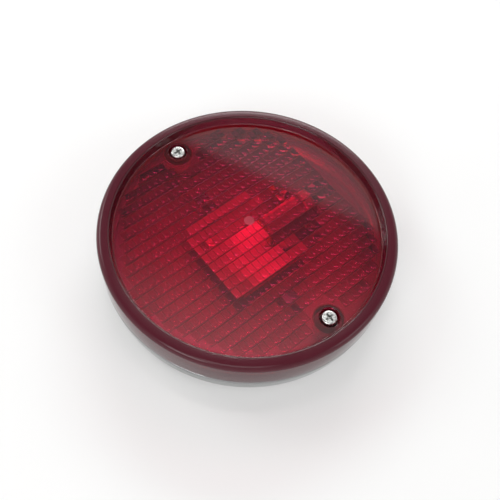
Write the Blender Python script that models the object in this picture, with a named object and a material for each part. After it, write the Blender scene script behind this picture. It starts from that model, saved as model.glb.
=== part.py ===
"""Round rear lamp of a motorcycle: a red screw-on lens over a plated pan, with one bayonet bulb.

Units are metres. +Z is the way the lamp shines, so the lamp lies on its back on the ground plane.
The origin is the centre of its back. +Y points to one lens screw, +X along the bulb.
"""
import math

import bmesh
import bpy

# Clearances between separate pieces
SEAT_GAP = 0.0003
RUN_GAP = 0.0003

# Facets of large and small round pieces
RING_SIDES = 64
CLAMP_SIDES = 32
SMALL_SIDES = 16
RIVET_SIDES = 12
WIRE_SIDES = 6
NUT_SIDES = 6
TRAY_SIDES = 4
ARC_STEPS = 3
EDGE_STEPS = 2
BALL_STEPS = 7
FILAMENT_STEPS = 8
HOLE_TURN = 7.0
SHARP_ANGLE = 35.0

# The two ends of what is alike on the +Y and -Y sides
ENDS = (("top", 1.0), ("bottom", -1.0))

# Rubber pad and pressed pan at the back
PAD_THICKNESS = 0.0020
PAD_INSET = 0.0050
PAN_SHEET = 0.0010
PAN_HEIGHT = 0.0109
PAN_SETBACK = 0.0004
PAN_DRAFT = 0.0006
PAN_CORNER = 0.0030
PAN_EDGE_ROUND = 0.0009
PAN_FLANGE = 0.0060

# Lens and its gasket
LENS_RADIUS = 0.0700
LENS_WALL = 0.0032
LENS_SHOULDER = 0.0027
LENS_INNER_ROUND = 0.0020
RIM_WIDTH = 0.0058
RIM_EDGE = 0.0004
RECESS_DEPTH = 0.0042
RECESS_DRAFT = 0.0012
RECESS_ROUND = 0.0007
FACE_THICKNESS = 0.0029
PRISM_PITCH = 0.0054
PRISM_HEIGHT = 0.0005
PRISM_LAND = 0.0006
PRISM_MARGIN = 0.0008
PRISM_PLAIN_SIDE = 0.0214
GASKET_THICKNESS = 0.0010
GASKET_WIDTH = 0.0026
REBATE_WIDTH = 0.0016

# Lens screws, their washers, wells and posts
SCREW_INSET = 0.0138
SCREW_RADIUS = 0.0020
SCREW_REACH = 0.0156
HEAD_RADIUS = 0.00355
HEAD_HEIGHT = 0.0024
HEAD_EDGE = 0.0011
HEAD_PROUD = 0.0002
CROSS_WIDTH = 0.0010
CROSS_LENGTH = 0.0042
CROSS_DEPTH = 0.0013
WASHER_THICKNESS = 0.0008
WASHER_RADIUS = 0.0040
WELL_RADIUS = 0.00463
BOSS_RADIUS = 0.0067
BOSS_FLOOR = 0.0062
POST_RADIUS = 0.0046
POST_SPIGOT = 0.0025
POST_HOLE_FLOOR = 0.0025

# Bulb with a bayonet cap
BULB_RADIUS = 0.0084
BULB_FLOOR_GAP = 0.0005
BULB_LENS_GAP = 0.0015
BULB_POLE = 172.0
BALL_SHARE = 0.98
GLASS_WALL = 0.0007
CAP_RADIUS = 0.0075
CAP_WALL = 0.0006
CAP_START = 0.0080
CAP_LENGTH = 0.0150
NECK_OVERLAP = 0.0040
CAP_HOLE = 0.0045
CAP_INSULATOR_THICKNESS = 0.0018
SOLDER_RADIUS = 0.0020
SOLDER_HEIGHT = 0.0010
PIN_RADIUS = 0.0010
PIN_HEIGHT = 0.0009
PIN_FROM_END = 0.0065
STEM_RADIUS = 0.0016
STEM_FLARE = 0.0010
STEM_TIP = 0.0046
WIRE_RADIUS = 0.0003
WIRE_SPREAD = 0.0032
FILAMENT_RADIUS = 0.0004
FILAMENT_RISE = 0.0006

# Bulb holder
PUSH_TRAVEL = 0.0015
HOLDER_WALL = 0.0005
HOLDER_MOUTH = 0.0010
SLOT_TURN = 25.0
BUTTON_RADIUS = 0.0024
BUTTON_HEAD = 0.0007
BUTTON_SHANK = 0.0012
CARRIER_THICKNESS = 0.0020
SPRING_RADIUS = 0.0045
SPRING_WIRE = 0.0004
SPRING_LENGTH = 0.0058
SPRING_TURNS = 3
SPRING_POINTS = 10
END_DISC_THICKNESS = 0.0020
HOLDER_LIP = 0.0008
TAG_THICKNESS = 0.0006
TAG_RADIUS = 0.0026
CLAMP_SHEET = 0.0005
CLAMP_LENGTH = 0.0065
CLAMP_REACH = 0.0062
FOOT_SHEET = 0.0008
RIVET_RADIUS = 0.0015
RIVET_HEAD = 0.0025
RIVET_HEIGHT = 0.0010
RIVET_CROWN = 30.0
EARTH_REACH = 0.0070
EARTH_HEIGHT = 0.0050

# Reflector tray
TRAY_SHEET = 0.0005
TRAY_FLOOR_HALF = 0.0170
TRAY_RIM_HALF = 0.0230
TRAY_DEPTH = 0.0070
TRAY_RIVET_INSET = 0.0040
NOTCH_GAP = 0.0006

# Body bolts and cable entry
BOLT_RADIUS = 0.0025
BOLT_CLEARANCE = 0.00025
BOLT_SPACING = 0.0680
NUT_ACROSS_FLATS = 0.0080
NUT_HEIGHT = 0.0040
PAD_BOLT_HOLE = 0.0040
GROMMET_INSET = 0.0170
GROMMET_SIDE = 0.0050
GROMMET_BORE = 0.0036
GROMMET_WALL = 0.0011
GROMMET_FLANGE = 0.0018
GROMMET_FLANGE_HEIGHT = 0.0016

# Heights up from the ground plane
PAN_BOTTOM = PAD_THICKNESS + SEAT_GAP
FLOOR_TOP = PAN_BOTTOM + PAN_SHEET
PAN_TOP = PAN_BOTTOM + PAN_HEIGHT
LENS_BOTTOM = PAN_TOP + SEAT_GAP
TRAY_BOTTOM = FLOOR_TOP + SEAT_GAP
HOLDER_INNER = CAP_RADIUS + RUN_GAP
HOLDER_OUTER = HOLDER_INNER + HOLDER_WALL
CLAMP_INNER = HOLDER_OUTER + SEAT_GAP
CLAMP_OUTER = CLAMP_INNER + CLAMP_SHEET
AXIS_Z = max(
    TRAY_BOTTOM + TRAY_SHEET + BULB_FLOOR_GAP + BULB_RADIUS,
    FLOOR_TOP + SEAT_GAP + CLAMP_OUTER,
)
FACE_UNDER = AXIS_Z + max(BULB_RADIUS + BULB_LENS_GAP, CLAMP_OUTER + SEAT_GAP + PRISM_HEIGHT)
FACE_TOP = FACE_UNDER + FACE_THICKNESS
RIM_TOP = FACE_TOP + RECESS_DEPTH

# Radii and places of the lens and pan
PAN_RADIUS = LENS_RADIUS - PAN_SETBACK
PAN_FOOT = PAN_RADIUS - PAN_DRAFT
LENS_INNER = LENS_RADIUS - LENS_WALL
REBATE_RADIUS = LENS_INNER + REBATE_WIDTH
GASKET_OUTER = REBATE_RADIUS - RUN_GAP
SCREW_Y = LENS_RADIUS - SCREW_INSET
SCREW_HOLE = SCREW_RADIUS + RUN_GAP

# Heights of a screw, its well and its post
HEAD_UNDER = FACE_TOP + HEAD_PROUD - HEAD_HEIGHT
WASHER_BOTTOM = HEAD_UNDER - SEAT_GAP - WASHER_THICKNESS
WELL_FLOOR = WASHER_BOTTOM - SEAT_GAP
BOSS_BOTTOM = WELL_FLOOR - BOSS_FLOOR
POST_TOP = BOSS_BOTTOM - SEAT_GAP
POST_BOTTOM = FLOOR_TOP + SEAT_GAP

# Stations along the bulb axis, from the middle of the glass ball
CAP_END = CAP_START + CAP_LENGTH
PIN_STATION = CAP_END - PIN_FROM_END
INSULATOR_END = CAP_END + CAP_INSULATOR_THICKNESS / 2
SOLDER_START = INSULATOR_END + SEAT_GAP
SOLDER_END = SOLDER_START + SOLDER_HEIGHT
BUTTON_START = SOLDER_END + SEAT_GAP
CARRIER_START = BUTTON_START + BUTTON_HEAD + SEAT_GAP
CARRIER_END = CARRIER_START + CARRIER_THICKNESS
SPRING_START = CARRIER_END + SEAT_GAP
SPRING_END = SPRING_START + SPRING_LENGTH
END_DISC_START = SPRING_END + SEAT_GAP
END_DISC_END = END_DISC_START + END_DISC_THICKNESS
HOLDER_START = CAP_START + HOLDER_MOUTH
HOLDER_END = END_DISC_END + SEAT_GAP + HOLDER_LIP
TAG_START = HOLDER_END + SEAT_GAP
BUTTON_END = TAG_START + TAG_THICKNESS + SEAT_GAP
CLAMP_START = HOLDER_END - CLAMP_LENGTH
RIVET_X = CLAMP_START + CLAMP_LENGTH / 2
RIVET_Y = CLAMP_OUTER + CLAMP_REACH / 2
RIVET_HOLE = RIVET_RADIUS + RUN_GAP
FOOT_TOP = FLOOR_TOP + SEAT_GAP + FOOT_SHEET
TRAY_RIVET = TRAY_FLOOR_HALF - TRAY_RIVET_INSET
GROMMET_X = LENS_RADIUS - GROMMET_INSET
GROMMET_NECK = GROMMET_BORE + GROMMET_WALL


def make_material(name, color, roughness, metallic=0.0, transmission=0.0):
    """One Principled material for a piece."""
    material = bpy.data.materials.new(name)
    material.use_nodes = True
    shader = material.node_tree.nodes["Principled BSDF"]
    shader.inputs["Base Color"].default_value = (*color, 1.0)
    shader.inputs["Roughness"].default_value = roughness
    shader.inputs["Metallic"].default_value = metallic
    shader.inputs["Transmission Weight"].default_value = transmission
    material.diffuse_color = (*color, 1.0)
    return material


def red_plastic(name):
    return make_material(name, (0.36, 0.004, 0.012), 0.10, transmission=0.8)


def chrome(name):
    return make_material(name, (0.62, 0.61, 0.60), 0.08, 1.0)


def zinc(name):
    return make_material(name, (0.60, 0.61, 0.58), 0.32, 1.0)


def brass(name):
    return make_material(name, (0.62, 0.44, 0.18), 0.30, 1.0)


def tin(name):
    return make_material(name, (0.66, 0.66, 0.66), 0.22, 1.0)


def rubber(name):
    return make_material(name, (0.018, 0.018, 0.019), 0.75)


def phenolic(name):
    return make_material(name, (0.10, 0.045, 0.022), 0.45)


def clear_glass(name):
    return make_material(name, (0.92, 0.94, 0.94), 0.02, transmission=1.0)


def tungsten(name):
    return make_material(name, (0.30, 0.30, 0.31), 0.40, 1.0)


def arc(center_a, center_b, radius, start, end, steps=ARC_STEPS):
    """Points on an arc, angles in degrees."""
    points = []
    for step in range(steps + 1):
        angle = math.radians(start + (end - start) * step / steps)
        points.append((center_a + radius * math.cos(angle), center_b + radius * math.sin(angle)))
    return points


def turned_mesh(name, profile, sides, turn=0.0):
    """Solid of revolution about Z from a closed (radius, height) profile.

    A profile that starts and ends on the axis gets one flat face at each end.
    """
    on_axis = profile[0][0] == 0.0
    outline = profile[1:-1] if on_axis else profile
    mesh = bmesh.new()
    rings = []
    for radius, height in outline:
        loop = []
        for side in range(sides):
            angle = turn + math.tau * side / sides
            loop.append(mesh.verts.new((radius * math.cos(angle), radius * math.sin(angle), height)))
        rings.append(loop)
    if on_axis:
        mesh.faces.new(rings[0])
        mesh.faces.new(rings[-1])
    for index in range(len(rings) - 1 if on_axis else len(rings)):
        near = rings[index]
        far = rings[(index + 1) % len(rings)]
        for side in range(sides):
            other = (side + 1) % sides
            mesh.faces.new([near[side], near[other], far[other], far[side]])
    return finished_mesh(name, mesh)


def extruded_mesh(name, outline, low, high, axis="Z"):
    """Solid between two copies of a closed outline, drawn across the named axis."""
    place = {
        "X": lambda a, b, depth: (depth, a, b),
        "Y": lambda a, b, depth: (a, depth, b),
        "Z": lambda a, b, depth: (a, b, depth),
    }[axis]
    mesh = bmesh.new()
    bottom = [mesh.verts.new(place(a, b, low)) for a, b in outline]
    top = [mesh.verts.new(place(a, b, high)) for a, b in outline]
    mesh.faces.new(bottom)
    mesh.faces.new(top)
    for index in range(len(outline)):
        other = (index + 1) % len(outline)
        mesh.faces.new([bottom[index], bottom[other], top[other], top[index]])
    return finished_mesh(name, mesh)


def tube_mesh(name, path, radius):
    """Round wire along a list of points, with flat ends."""
    curve = bpy.data.curves.new(name, "CURVE")
    curve.dimensions = "3D"
    curve.bevel_depth = radius
    curve.bevel_resolution = WIRE_SIDES // 2 - 2
    curve.use_fill_caps = True
    spline = curve.splines.new("POLY")
    spline.points.add(len(path) - 1)
    for point, place in zip(spline.points, path):
        point.co = (*place, 1.0)
    return curve


def finished_mesh(name, mesh):
    """Mesh data with its faces pointing out, smooth on round stretches."""
    bmesh.ops.recalc_face_normals(mesh, faces=mesh.faces)
    data = bpy.data.meshes.new(name)
    mesh.to_mesh(data)
    mesh.free()
    data.shade_smooth()
    data.set_sharp_from_angle(angle=math.radians(SHARP_ANGLE))
    return data


def rectangle(low_a, low_b, high_a, high_b):
    return [(low_a, low_b), (high_a, low_b), (high_a, high_b), (low_a, high_b)]


def add_piece(data, material=None, parent=None, place=(0.0, 0.0, 0.0), turn=0.0):
    """Link an object for a mesh or curve, under its parent, turned about its own Z."""
    piece = bpy.data.objects.new(data.name, data)
    bpy.context.scene.collection.objects.link(piece)
    piece.parent = parent
    piece.location = place
    piece.rotation_euler = (0.0, 0.0, turn)
    if material is not None:
        data.materials.append(material(data.name))
    return piece


def shape(target, tool_data, operation, parent=None, place=(0.0, 0.0, 0.0)):
    """Join a tool solid to a piece, or cut it out of the piece."""
    tool = add_piece(tool_data, parent=parent, place=place)
    tool.hide_render = True
    tool.display_type = "WIRE"
    modifier = target.modifiers.new(tool_data.name, "BOOLEAN")
    modifier.operation = operation
    modifier.solver = "EXACT"
    modifier.object = tool


def cylinder(name, radius, low, high, sides=SMALL_SIDES):
    return turned_mesh(name, [(0.0, low), (radius, low), (radius, high), (0.0, high)], sides)


def ring(name, inner, outer, low, high, sides=SMALL_SIDES):
    profile = [(inner, low), (outer, low), (outer, high), (inner, high)]
    return turned_mesh(name, profile, sides)


def drill(target, holes, low, high):
    """Cut round holes, each a radius and a place, along Z right through a piece."""
    mesh = bmesh.new()
    for radius, (x, y) in holes:
        ends = []
        for height in (low - RUN_GAP, high + RUN_GAP):
            outline = arc(x, y, radius, HOLE_TURN, HOLE_TURN + 360.0, SMALL_SIDES)[:-1]
            ends.append([mesh.verts.new((a, b, height)) for a, b in outline])
            mesh.faces.new(ends[-1])
        for side in range(SMALL_SIDES):
            other = (side + 1) % SMALL_SIDES
            mesh.faces.new([ends[0][side], ends[0][other], ends[1][other], ends[1][side]])
    shape(target, finished_mesh(target.name + "_holes", mesh), "DIFFERENCE")


def make_seat_pad():
    pad = add_piece(cylinder("seat_pad", PAN_FOOT - PAD_INSET, 0.0, PAD_THICKNESS, RING_SIDES), rubber)
    holes = [(PAD_BOLT_HOLE, (0.0, sign * BOLT_SPACING / 2)) for _, sign in ENDS]
    holes.append((GROMMET_NECK + GROMMET_FLANGE + SEAT_GAP, (GROMMET_X, GROMMET_SIDE)))
    drill(pad, holes, 0.0, PAD_THICKNESS)


def make_base_pan():
    inner_corner = PAN_CORNER - PAN_SHEET
    center = PAN_FOOT - PAN_CORNER
    flange_under = PAN_TOP - PAN_SHEET
    profile = [(0.0, PAN_BOTTOM)]
    profile += arc(center, PAN_BOTTOM + PAN_CORNER, PAN_CORNER, -90.0, 0.0)
    profile += arc(PAN_RADIUS - PAN_EDGE_ROUND, PAN_TOP - PAN_EDGE_ROUND, PAN_EDGE_ROUND, 0.0, 90.0)
    profile += [
        (PAN_RADIUS - PAN_FLANGE, PAN_TOP),
        (PAN_RADIUS - PAN_FLANGE, flange_under),
        (PAN_RADIUS - PAN_SHEET, flange_under),
    ]
    profile += arc(center, PAN_BOTTOM + PAN_CORNER, inner_corner, 0.0, -90.0)
    profile.append((0.0, FLOOR_TOP))
    pan = add_piece(turned_mesh("base_pan", profile, RING_SIDES), chrome)
    holes = [(GROMMET_NECK + SEAT_GAP, (GROMMET_X, GROMMET_SIDE))]
    for _, sign in ENDS:
        holes += [
            (BOLT_RADIUS + BOLT_CLEARANCE, (0.0, sign * BOLT_SPACING / 2)),
            (POST_SPIGOT + SEAT_GAP, (0.0, sign * SCREW_Y)),
            (RIVET_HOLE, (RIVET_X, sign * RIVET_Y)),
            (RIVET_HOLE, (-TRAY_RIVET, sign * TRAY_RIVET)),
        ]
    drill(pan, holes, PAN_BOTTOM, FLOOR_TOP)


def make_lens_gasket():
    low = PAN_TOP + SEAT_GAP
    inner = GASKET_OUTER - GASKET_WIDTH
    data = ring("lens_gasket", inner, GASKET_OUTER, low, low + GASKET_THICKNESS, RING_SIDES)
    add_piece(data, rubber)


def prism_rows():
    """Shallow ridges across the underside of the lens face, one body for each row."""
    field = LENS_INNER - LENS_INNER_ROUND - PRISM_MARGIN
    half = (PRISM_PITCH - PRISM_LAND) / 2
    root = FACE_UNDER + PRISM_HEIGHT
    count = int(field / PRISM_PITCH)
    mesh = bmesh.new()
    for row in range(-count, count + 1):
        middle = row * PRISM_PITCH
        edge = abs(middle) + half
        if edge >= field:
            continue
        chord = math.sqrt(field ** 2 - edge ** 2)
        right = min(chord, LENS_RADIUS - PRISM_PLAIN_SIDE)
        section = [
            (middle - half, root),
            (middle + half, root),
            (middle + half, FACE_UNDER),
            (middle, FACE_UNDER - PRISM_HEIGHT),
            (middle - half, FACE_UNDER),
        ]
        ends = [[mesh.verts.new((x, y, z)) for y, z in section] for x in (-chord, right)]
        mesh.faces.new(ends[0])
        mesh.faces.new(ends[1])
        for index in range(len(section)):
            other = (index + 1) % len(section)
            mesh.faces.new([ends[0][index], ends[0][other], ends[1][other], ends[1][index]])
    return finished_mesh("lens_prisms", mesh)


def make_lens():
    rim_inner = LENS_RADIUS - RIM_WIDTH
    face_radius = rim_inner - RECESS_DRAFT
    rebate_top = PAN_TOP + SEAT_GAP + GASKET_THICKNESS + SEAT_GAP
    profile = [(0.0, FACE_TOP)]
    profile += arc(face_radius - RECESS_ROUND, FACE_TOP + RECESS_ROUND, RECESS_ROUND, -90.0, 0.0)
    profile += arc(rim_inner + RIM_EDGE, RIM_TOP - RIM_EDGE, RIM_EDGE, 180.0, 90.0, EDGE_STEPS)
    profile += arc(LENS_RADIUS - LENS_SHOULDER, RIM_TOP - LENS_SHOULDER, LENS_SHOULDER, 90.0, 0.0)
    profile += [
        (LENS_RADIUS, LENS_BOTTOM),
        (REBATE_RADIUS, LENS_BOTTOM),
        (REBATE_RADIUS, rebate_top),
        (LENS_INNER, rebate_top),
    ]
    inside = LENS_INNER - LENS_INNER_ROUND
    profile += arc(inside, FACE_UNDER - LENS_INNER_ROUND, LENS_INNER_ROUND, 0.0, 90.0)
    profile.append((0.0, FACE_UNDER))
    lens = add_piece(turned_mesh("lens", profile, RING_SIDES), red_plastic)
    shape(lens, prism_rows(), "UNION")
    boss_top = (FACE_UNDER + FACE_TOP) / 2
    well_profile = [
        (0.0, BOSS_BOTTOM - RUN_GAP),
        (SCREW_HOLE, BOSS_BOTTOM - RUN_GAP),
        (SCREW_HOLE, WELL_FLOOR),
        (WELL_RADIUS, WELL_FLOOR),
        (WELL_RADIUS, FACE_TOP + RUN_GAP),
        (0.0, FACE_TOP + RUN_GAP),
    ]
    for label, sign in ENDS:
        spot = (0.0, sign * SCREW_Y, 0.0)
        boss = cylinder("lens_boss_" + label, BOSS_RADIUS, BOSS_BOTTOM, boss_top)
        shape(lens, boss, "UNION", place=spot)
        well = turned_mesh("lens_well_" + label, well_profile, SMALL_SIDES)
        shape(lens, well, "DIFFERENCE", place=spot)


def make_screw(label, sign):
    """One lens screw with its sealing washer and the post that it threads into."""
    spot = (0.0, sign * SCREW_Y, 0.0)
    top = HEAD_UNDER + HEAD_HEIGHT
    profile = [
        (0.0, HEAD_UNDER - SCREW_REACH),
        (SCREW_RADIUS, HEAD_UNDER - SCREW_REACH),
        (SCREW_RADIUS, HEAD_UNDER),
        (HEAD_RADIUS, HEAD_UNDER),
    ]
    profile += arc(HEAD_RADIUS - HEAD_EDGE, top - HEAD_EDGE, HEAD_EDGE, 0.0, 90.0)
    profile.append((0.0, top))
    screw = add_piece(turned_mesh("lens_screw_" + label, profile, SMALL_SIDES), zinc, place=spot)
    half = CROSS_WIDTH / 2
    reach = CROSS_LENGTH / 2
    cross = [
        (reach, -half), (reach, half), (half, half), (half, reach),
        (-half, reach), (-half, half), (-reach, half), (-reach, -half),
        (-half, -half), (-half, -reach), (half, -reach), (half, -half),
    ]
    recess = extruded_mesh("screw_cross_" + label, cross, top - CROSS_DEPTH, top + RUN_GAP)
    shape(screw, recess, "DIFFERENCE", place=spot)

    washer = ring(
        "screw_washer_" + label, SCREW_HOLE, WASHER_RADIUS, WASHER_BOTTOM, WASHER_BOTTOM + WASHER_THICKNESS
    )
    add_piece(washer, rubber, place=spot)

    hole_floor = POST_BOTTOM + POST_HOLE_FLOOR
    post_profile = [
        (0.0, PAN_BOTTOM),
        (POST_SPIGOT, PAN_BOTTOM),
        (POST_SPIGOT, POST_BOTTOM),
        (POST_RADIUS, POST_BOTTOM),
        (POST_RADIUS, POST_TOP),
        (SCREW_HOLE, POST_TOP),
        (SCREW_HOLE, hole_floor),
        (0.0, hole_floor),
    ]
    add_piece(turned_mesh("screw_post_" + label, post_profile, SMALL_SIDES), zinc, place=spot)


def make_reflector_tray():
    diagonal = math.sqrt(2.0)
    floor_top = TRAY_BOTTOM + TRAY_SHEET
    rim = TRAY_BOTTOM + TRAY_DEPTH
    lean = TRAY_SHEET * math.hypot(TRAY_RIM_HALF - TRAY_FLOOR_HALF, TRAY_DEPTH) / TRAY_DEPTH
    inner_floor = TRAY_FLOOR_HALF + (TRAY_RIM_HALF - TRAY_FLOOR_HALF) * TRAY_SHEET / TRAY_DEPTH - lean
    profile = [
        (0.0, TRAY_BOTTOM),
        (TRAY_FLOOR_HALF * diagonal, TRAY_BOTTOM),
        (TRAY_RIM_HALF * diagonal, rim),
        ((TRAY_RIM_HALF - lean) * diagonal, rim),
        (inner_floor * diagonal, floor_top),
        (0.0, floor_top),
    ]
    tray = add_piece(turned_mesh("reflector_tray", profile, TRAY_SIDES, math.pi / 4), tin)
    notch_half = HOLDER_OUTER + NOTCH_GAP
    outline = rectangle(HOLDER_START, -notch_half, TRAY_RIM_HALF + RUN_GAP, notch_half)
    notch = extruded_mesh("tray_notch", outline, floor_top + RUN_GAP / 2, rim + RUN_GAP)
    shape(tray, notch, "DIFFERENCE")
    spots = {"top": (-TRAY_RIVET, TRAY_RIVET), "bottom": (-TRAY_RIVET, -TRAY_RIVET)}
    drill(tray, [(RIVET_HOLE, spot) for spot in spots.values()], TRAY_BOTTOM, floor_top)
    for label, spot in spots.items():
        make_rivet("tray_rivet_" + label, floor_top + SEAT_GAP, spot)


def make_rivet(name, head_low, spot):
    """A rivet whose shank ends flush with the back of the pan."""
    head_top = head_low + RIVET_HEIGHT
    profile = [
        (0.0, PAN_BOTTOM),
        (RIVET_RADIUS, PAN_BOTTOM),
        (RIVET_RADIUS, head_low),
        (RIVET_HEAD, head_low),
    ]
    profile += arc(RIVET_HEAD - RIVET_HEIGHT, head_low, RIVET_HEIGHT, RIVET_CROWN, 90.0, EDGE_STEPS)
    profile.append((0.0, head_top))
    add_piece(turned_mesh(name, profile, RIVET_SIDES), tin, place=(spot[0], spot[1], 0.0))


def make_bulb(axis):
    """Glass, cap, pins, contact and filament, built along the bulb axis."""
    neck = CAP_RADIUS - CAP_WALL - SEAT_GAP
    neck_end = CAP_START + NECK_OVERLAP
    outer_angle = math.degrees(math.asin(min(BALL_SHARE, neck / BULB_RADIUS)))
    inner_ball = BULB_RADIUS - GLASS_WALL
    inner_neck = neck - GLASS_WALL
    inner_angle = math.degrees(math.asin(min(BALL_SHARE, inner_neck / inner_ball)))
    outside = arc(0.0, 0.0, BULB_RADIUS, BULB_POLE, outer_angle, BALL_STEPS)
    inside = arc(0.0, 0.0, inner_ball, inner_angle, BULB_POLE, BALL_STEPS)
    profile = [(0.0, -BULB_RADIUS)]
    profile += [(radius, station) for station, radius in outside]
    profile += [(neck, neck_end), (inner_neck, neck_end)]
    profile += [(radius, station) for station, radius in inside]
    profile.append((0.0, -inner_ball))
    add_piece(turned_mesh("bulb_glass", profile, SMALL_SIDES), clear_glass, axis)

    cap_profile = [
        (CAP_RADIUS - CAP_WALL, CAP_START),
        (CAP_RADIUS, CAP_START),
        (CAP_RADIUS, CAP_END),
        (CAP_HOLE, CAP_END),
        (CAP_HOLE, CAP_END - CAP_WALL),
        (CAP_RADIUS - CAP_WALL, CAP_END - CAP_WALL),
    ]
    add_piece(turned_mesh("bulb_cap", cap_profile, SMALL_SIDES), brass, axis)
    insulator_low = INSULATOR_END - CAP_INSULATOR_THICKNESS
    insulator = cylinder("cap_insulator", CAP_HOLE - SEAT_GAP, insulator_low, INSULATOR_END)
    add_piece(insulator, phenolic, axis)
    add_piece(cylinder("solder_contact", SOLDER_RADIUS, SOLDER_START, SOLDER_END, RIVET_SIDES), tin, axis)

    pin_low = CAP_RADIUS + SEAT_GAP
    for label, sign in ENDS:
        outline = arc(PIN_STATION, 0.0, PIN_RADIUS, 0.0, 360.0, RIVET_SIDES)[:-1]
        ends = sorted((sign * pin_low, sign * (pin_low + PIN_HEIGHT)))
        pin = extruded_mesh("bayonet_pin_" + label, outline, ends[0], ends[1], "Y")
        add_piece(pin, brass, place=(0.0, 0.0, AXIS_Z))

    flare = inner_neck - SEAT_GAP
    stem_profile = [
        (0.0, STEM_TIP),
        (STEM_RADIUS, STEM_TIP),
        (STEM_RADIUS, neck_end - 2 * STEM_FLARE),
        (flare, neck_end - STEM_FLARE),
        (flare, neck_end),
        (0.0, neck_end),
    ]
    add_piece(turned_mesh("glass_stem", stem_profile, RIVET_SIDES), clear_glass, axis)

    wire_start = STEM_TIP - SEAT_GAP - WIRE_RADIUS
    for label, sign in ENDS:
        start = (0.0, sign * (STEM_RADIUS - WIRE_RADIUS), wire_start)
        bend = (0.0, sign * WIRE_SPREAD, wire_start / 2)
        tip = (0.0, sign * WIRE_SPREAD, 0.0)
        wire = tube_mesh("lead_wire_" + label, [start, bend, tip], WIRE_RADIUS)
        add_piece(wire, tungsten, axis)
    reach = WIRE_SPREAD - WIRE_RADIUS - FILAMENT_RADIUS
    span = [-reach + 2.0 * reach * step / FILAMENT_STEPS for step in range(FILAMENT_STEPS + 1)]
    path = [(0.0, y, -FILAMENT_RISE * (1.0 - (y / reach) ** 2)) for y in span]
    add_piece(tube_mesh("filament", path, FILAMENT_RADIUS), tungsten, axis)


def make_bulb_holder(axis):
    """Slotted barrel, its sprung contact and the clamp that carries it."""
    lip_inner = HOLDER_INNER - HOLDER_LIP
    lip_low = HOLDER_END - HOLDER_LIP
    profile = [
        (HOLDER_INNER, HOLDER_START),
        (HOLDER_OUTER, HOLDER_START),
        (HOLDER_OUTER, HOLDER_END),
        (lip_inner, HOLDER_END),
        (lip_inner, lip_low),
        (HOLDER_INNER, lip_low),
    ]
    holder = add_piece(turned_mesh("bulb_holder", profile, SMALL_SIDES), tin, axis)
    half = PIN_RADIUS + RUN_GAP
    side = (HOLDER_INNER + HOLDER_WALL / 2) * math.sin(math.radians(SLOT_TURN))
    deep = PIN_STATION + PUSH_TRAVEL + half
    hook = PIN_STATION - half
    wall_low = deep - 2 * half
    mouth = HOLDER_START - RUN_GAP
    reach = HOLDER_OUTER + PIN_HEIGHT
    for label, sign in ENDS:
        outline = [
            (mouth, side - half), (mouth, side + half), (deep, side + half), (deep, -half),
            (hook, -half), (hook, half), (wall_low, half), (wall_low, side - half),
        ]
        outline = [(x, sign * z) for x, z in outline]
        ends = sorted((sign * HOLDER_INNER / 2, sign * reach))
        slot = extruded_mesh("holder_slot_" + label, outline, ends[0], ends[1], "Y")
        shape(holder, slot, "DIFFERENCE", place=(0.0, 0.0, AXIS_Z))

    carrier_outer = HOLDER_INNER - RUN_GAP
    carrier = ring("contact_carrier", BUTTON_SHANK + SEAT_GAP, carrier_outer, CARRIER_START, CARRIER_END)
    add_piece(carrier, phenolic, axis)
    button_profile = [
        (0.0, BUTTON_START),
        (BUTTON_RADIUS, BUTTON_START),
        (BUTTON_RADIUS, BUTTON_START + BUTTON_HEAD),
        (BUTTON_SHANK, BUTTON_START + BUTTON_HEAD),
        (BUTTON_SHANK, BUTTON_END),
        (0.0, BUTTON_END),
    ]
    add_piece(turned_mesh("contact_button", button_profile, RIVET_SIDES), brass, axis)
    tag_end = TAG_START + TAG_THICKNESS
    tag = ring("contact_tag", BUTTON_SHANK + SEAT_GAP, TAG_RADIUS, TAG_START, tag_end, RIVET_SIDES)
    add_piece(tag, brass, axis)
    end_disc = ring(
        "holder_end_disc", BUTTON_SHANK + RUN_GAP, HOLDER_INNER - SEAT_GAP, END_DISC_START, END_DISC_END
    )
    add_piece(end_disc, phenolic, axis)

    low = SPRING_START + SPRING_WIRE
    rise = SPRING_LENGTH - 2 * SPRING_WIRE
    count = SPRING_TURNS * SPRING_POINTS
    path = []
    for step in range(count + 1):
        angle = math.tau * step / SPRING_POINTS
        height = low + rise * step / count
        path.append((SPRING_RADIUS * math.cos(angle), SPRING_RADIUS * math.sin(angle), height))
    print("contact_spring gap to itself", round(rise / SPRING_TURNS - 2 * SPRING_WIRE, 5))
    add_piece(tube_mesh("contact_spring", path, SPRING_WIRE), tin, axis)

    foot_low = FLOOR_TOP + SEAT_GAP
    clamp_end = CLAMP_START + CLAMP_LENGTH
    band = cylinder("holder_clamp", CLAMP_OUTER, CLAMP_START, clamp_end, CLAMP_SIDES)
    clamp = add_piece(band, tin, axis)
    foot_half = CLAMP_OUTER + CLAMP_REACH
    foot = rectangle(CLAMP_START, -foot_half, clamp_end, foot_half)
    shape(clamp, extruded_mesh("clamp_foot", foot, foot_low, FOOT_TOP), "UNION")
    low_end = CLAMP_START - RUN_GAP
    bore = cylinder("clamp_bore", CLAMP_INNER, low_end, clamp_end + RUN_GAP, CLAMP_SIDES)
    shape(clamp, bore, "DIFFERENCE", parent=axis)
    earth_low = FOOT_TOP + SEAT_GAP
    head_low = {"top": earth_low + TAG_THICKNESS + SEAT_GAP, "bottom": FOOT_TOP + SEAT_GAP}
    spots = {"top": (RIVET_X, RIVET_Y), "bottom": (RIVET_X, -RIVET_Y)}
    drill(clamp, [(RIVET_HOLE, spot) for spot in spots.values()], foot_low, FOOT_TOP)
    for label, spot in spots.items():
        make_rivet("clamp_rivet_" + label, head_low[label], spot)
    make_earth_tag(earth_low)


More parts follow.
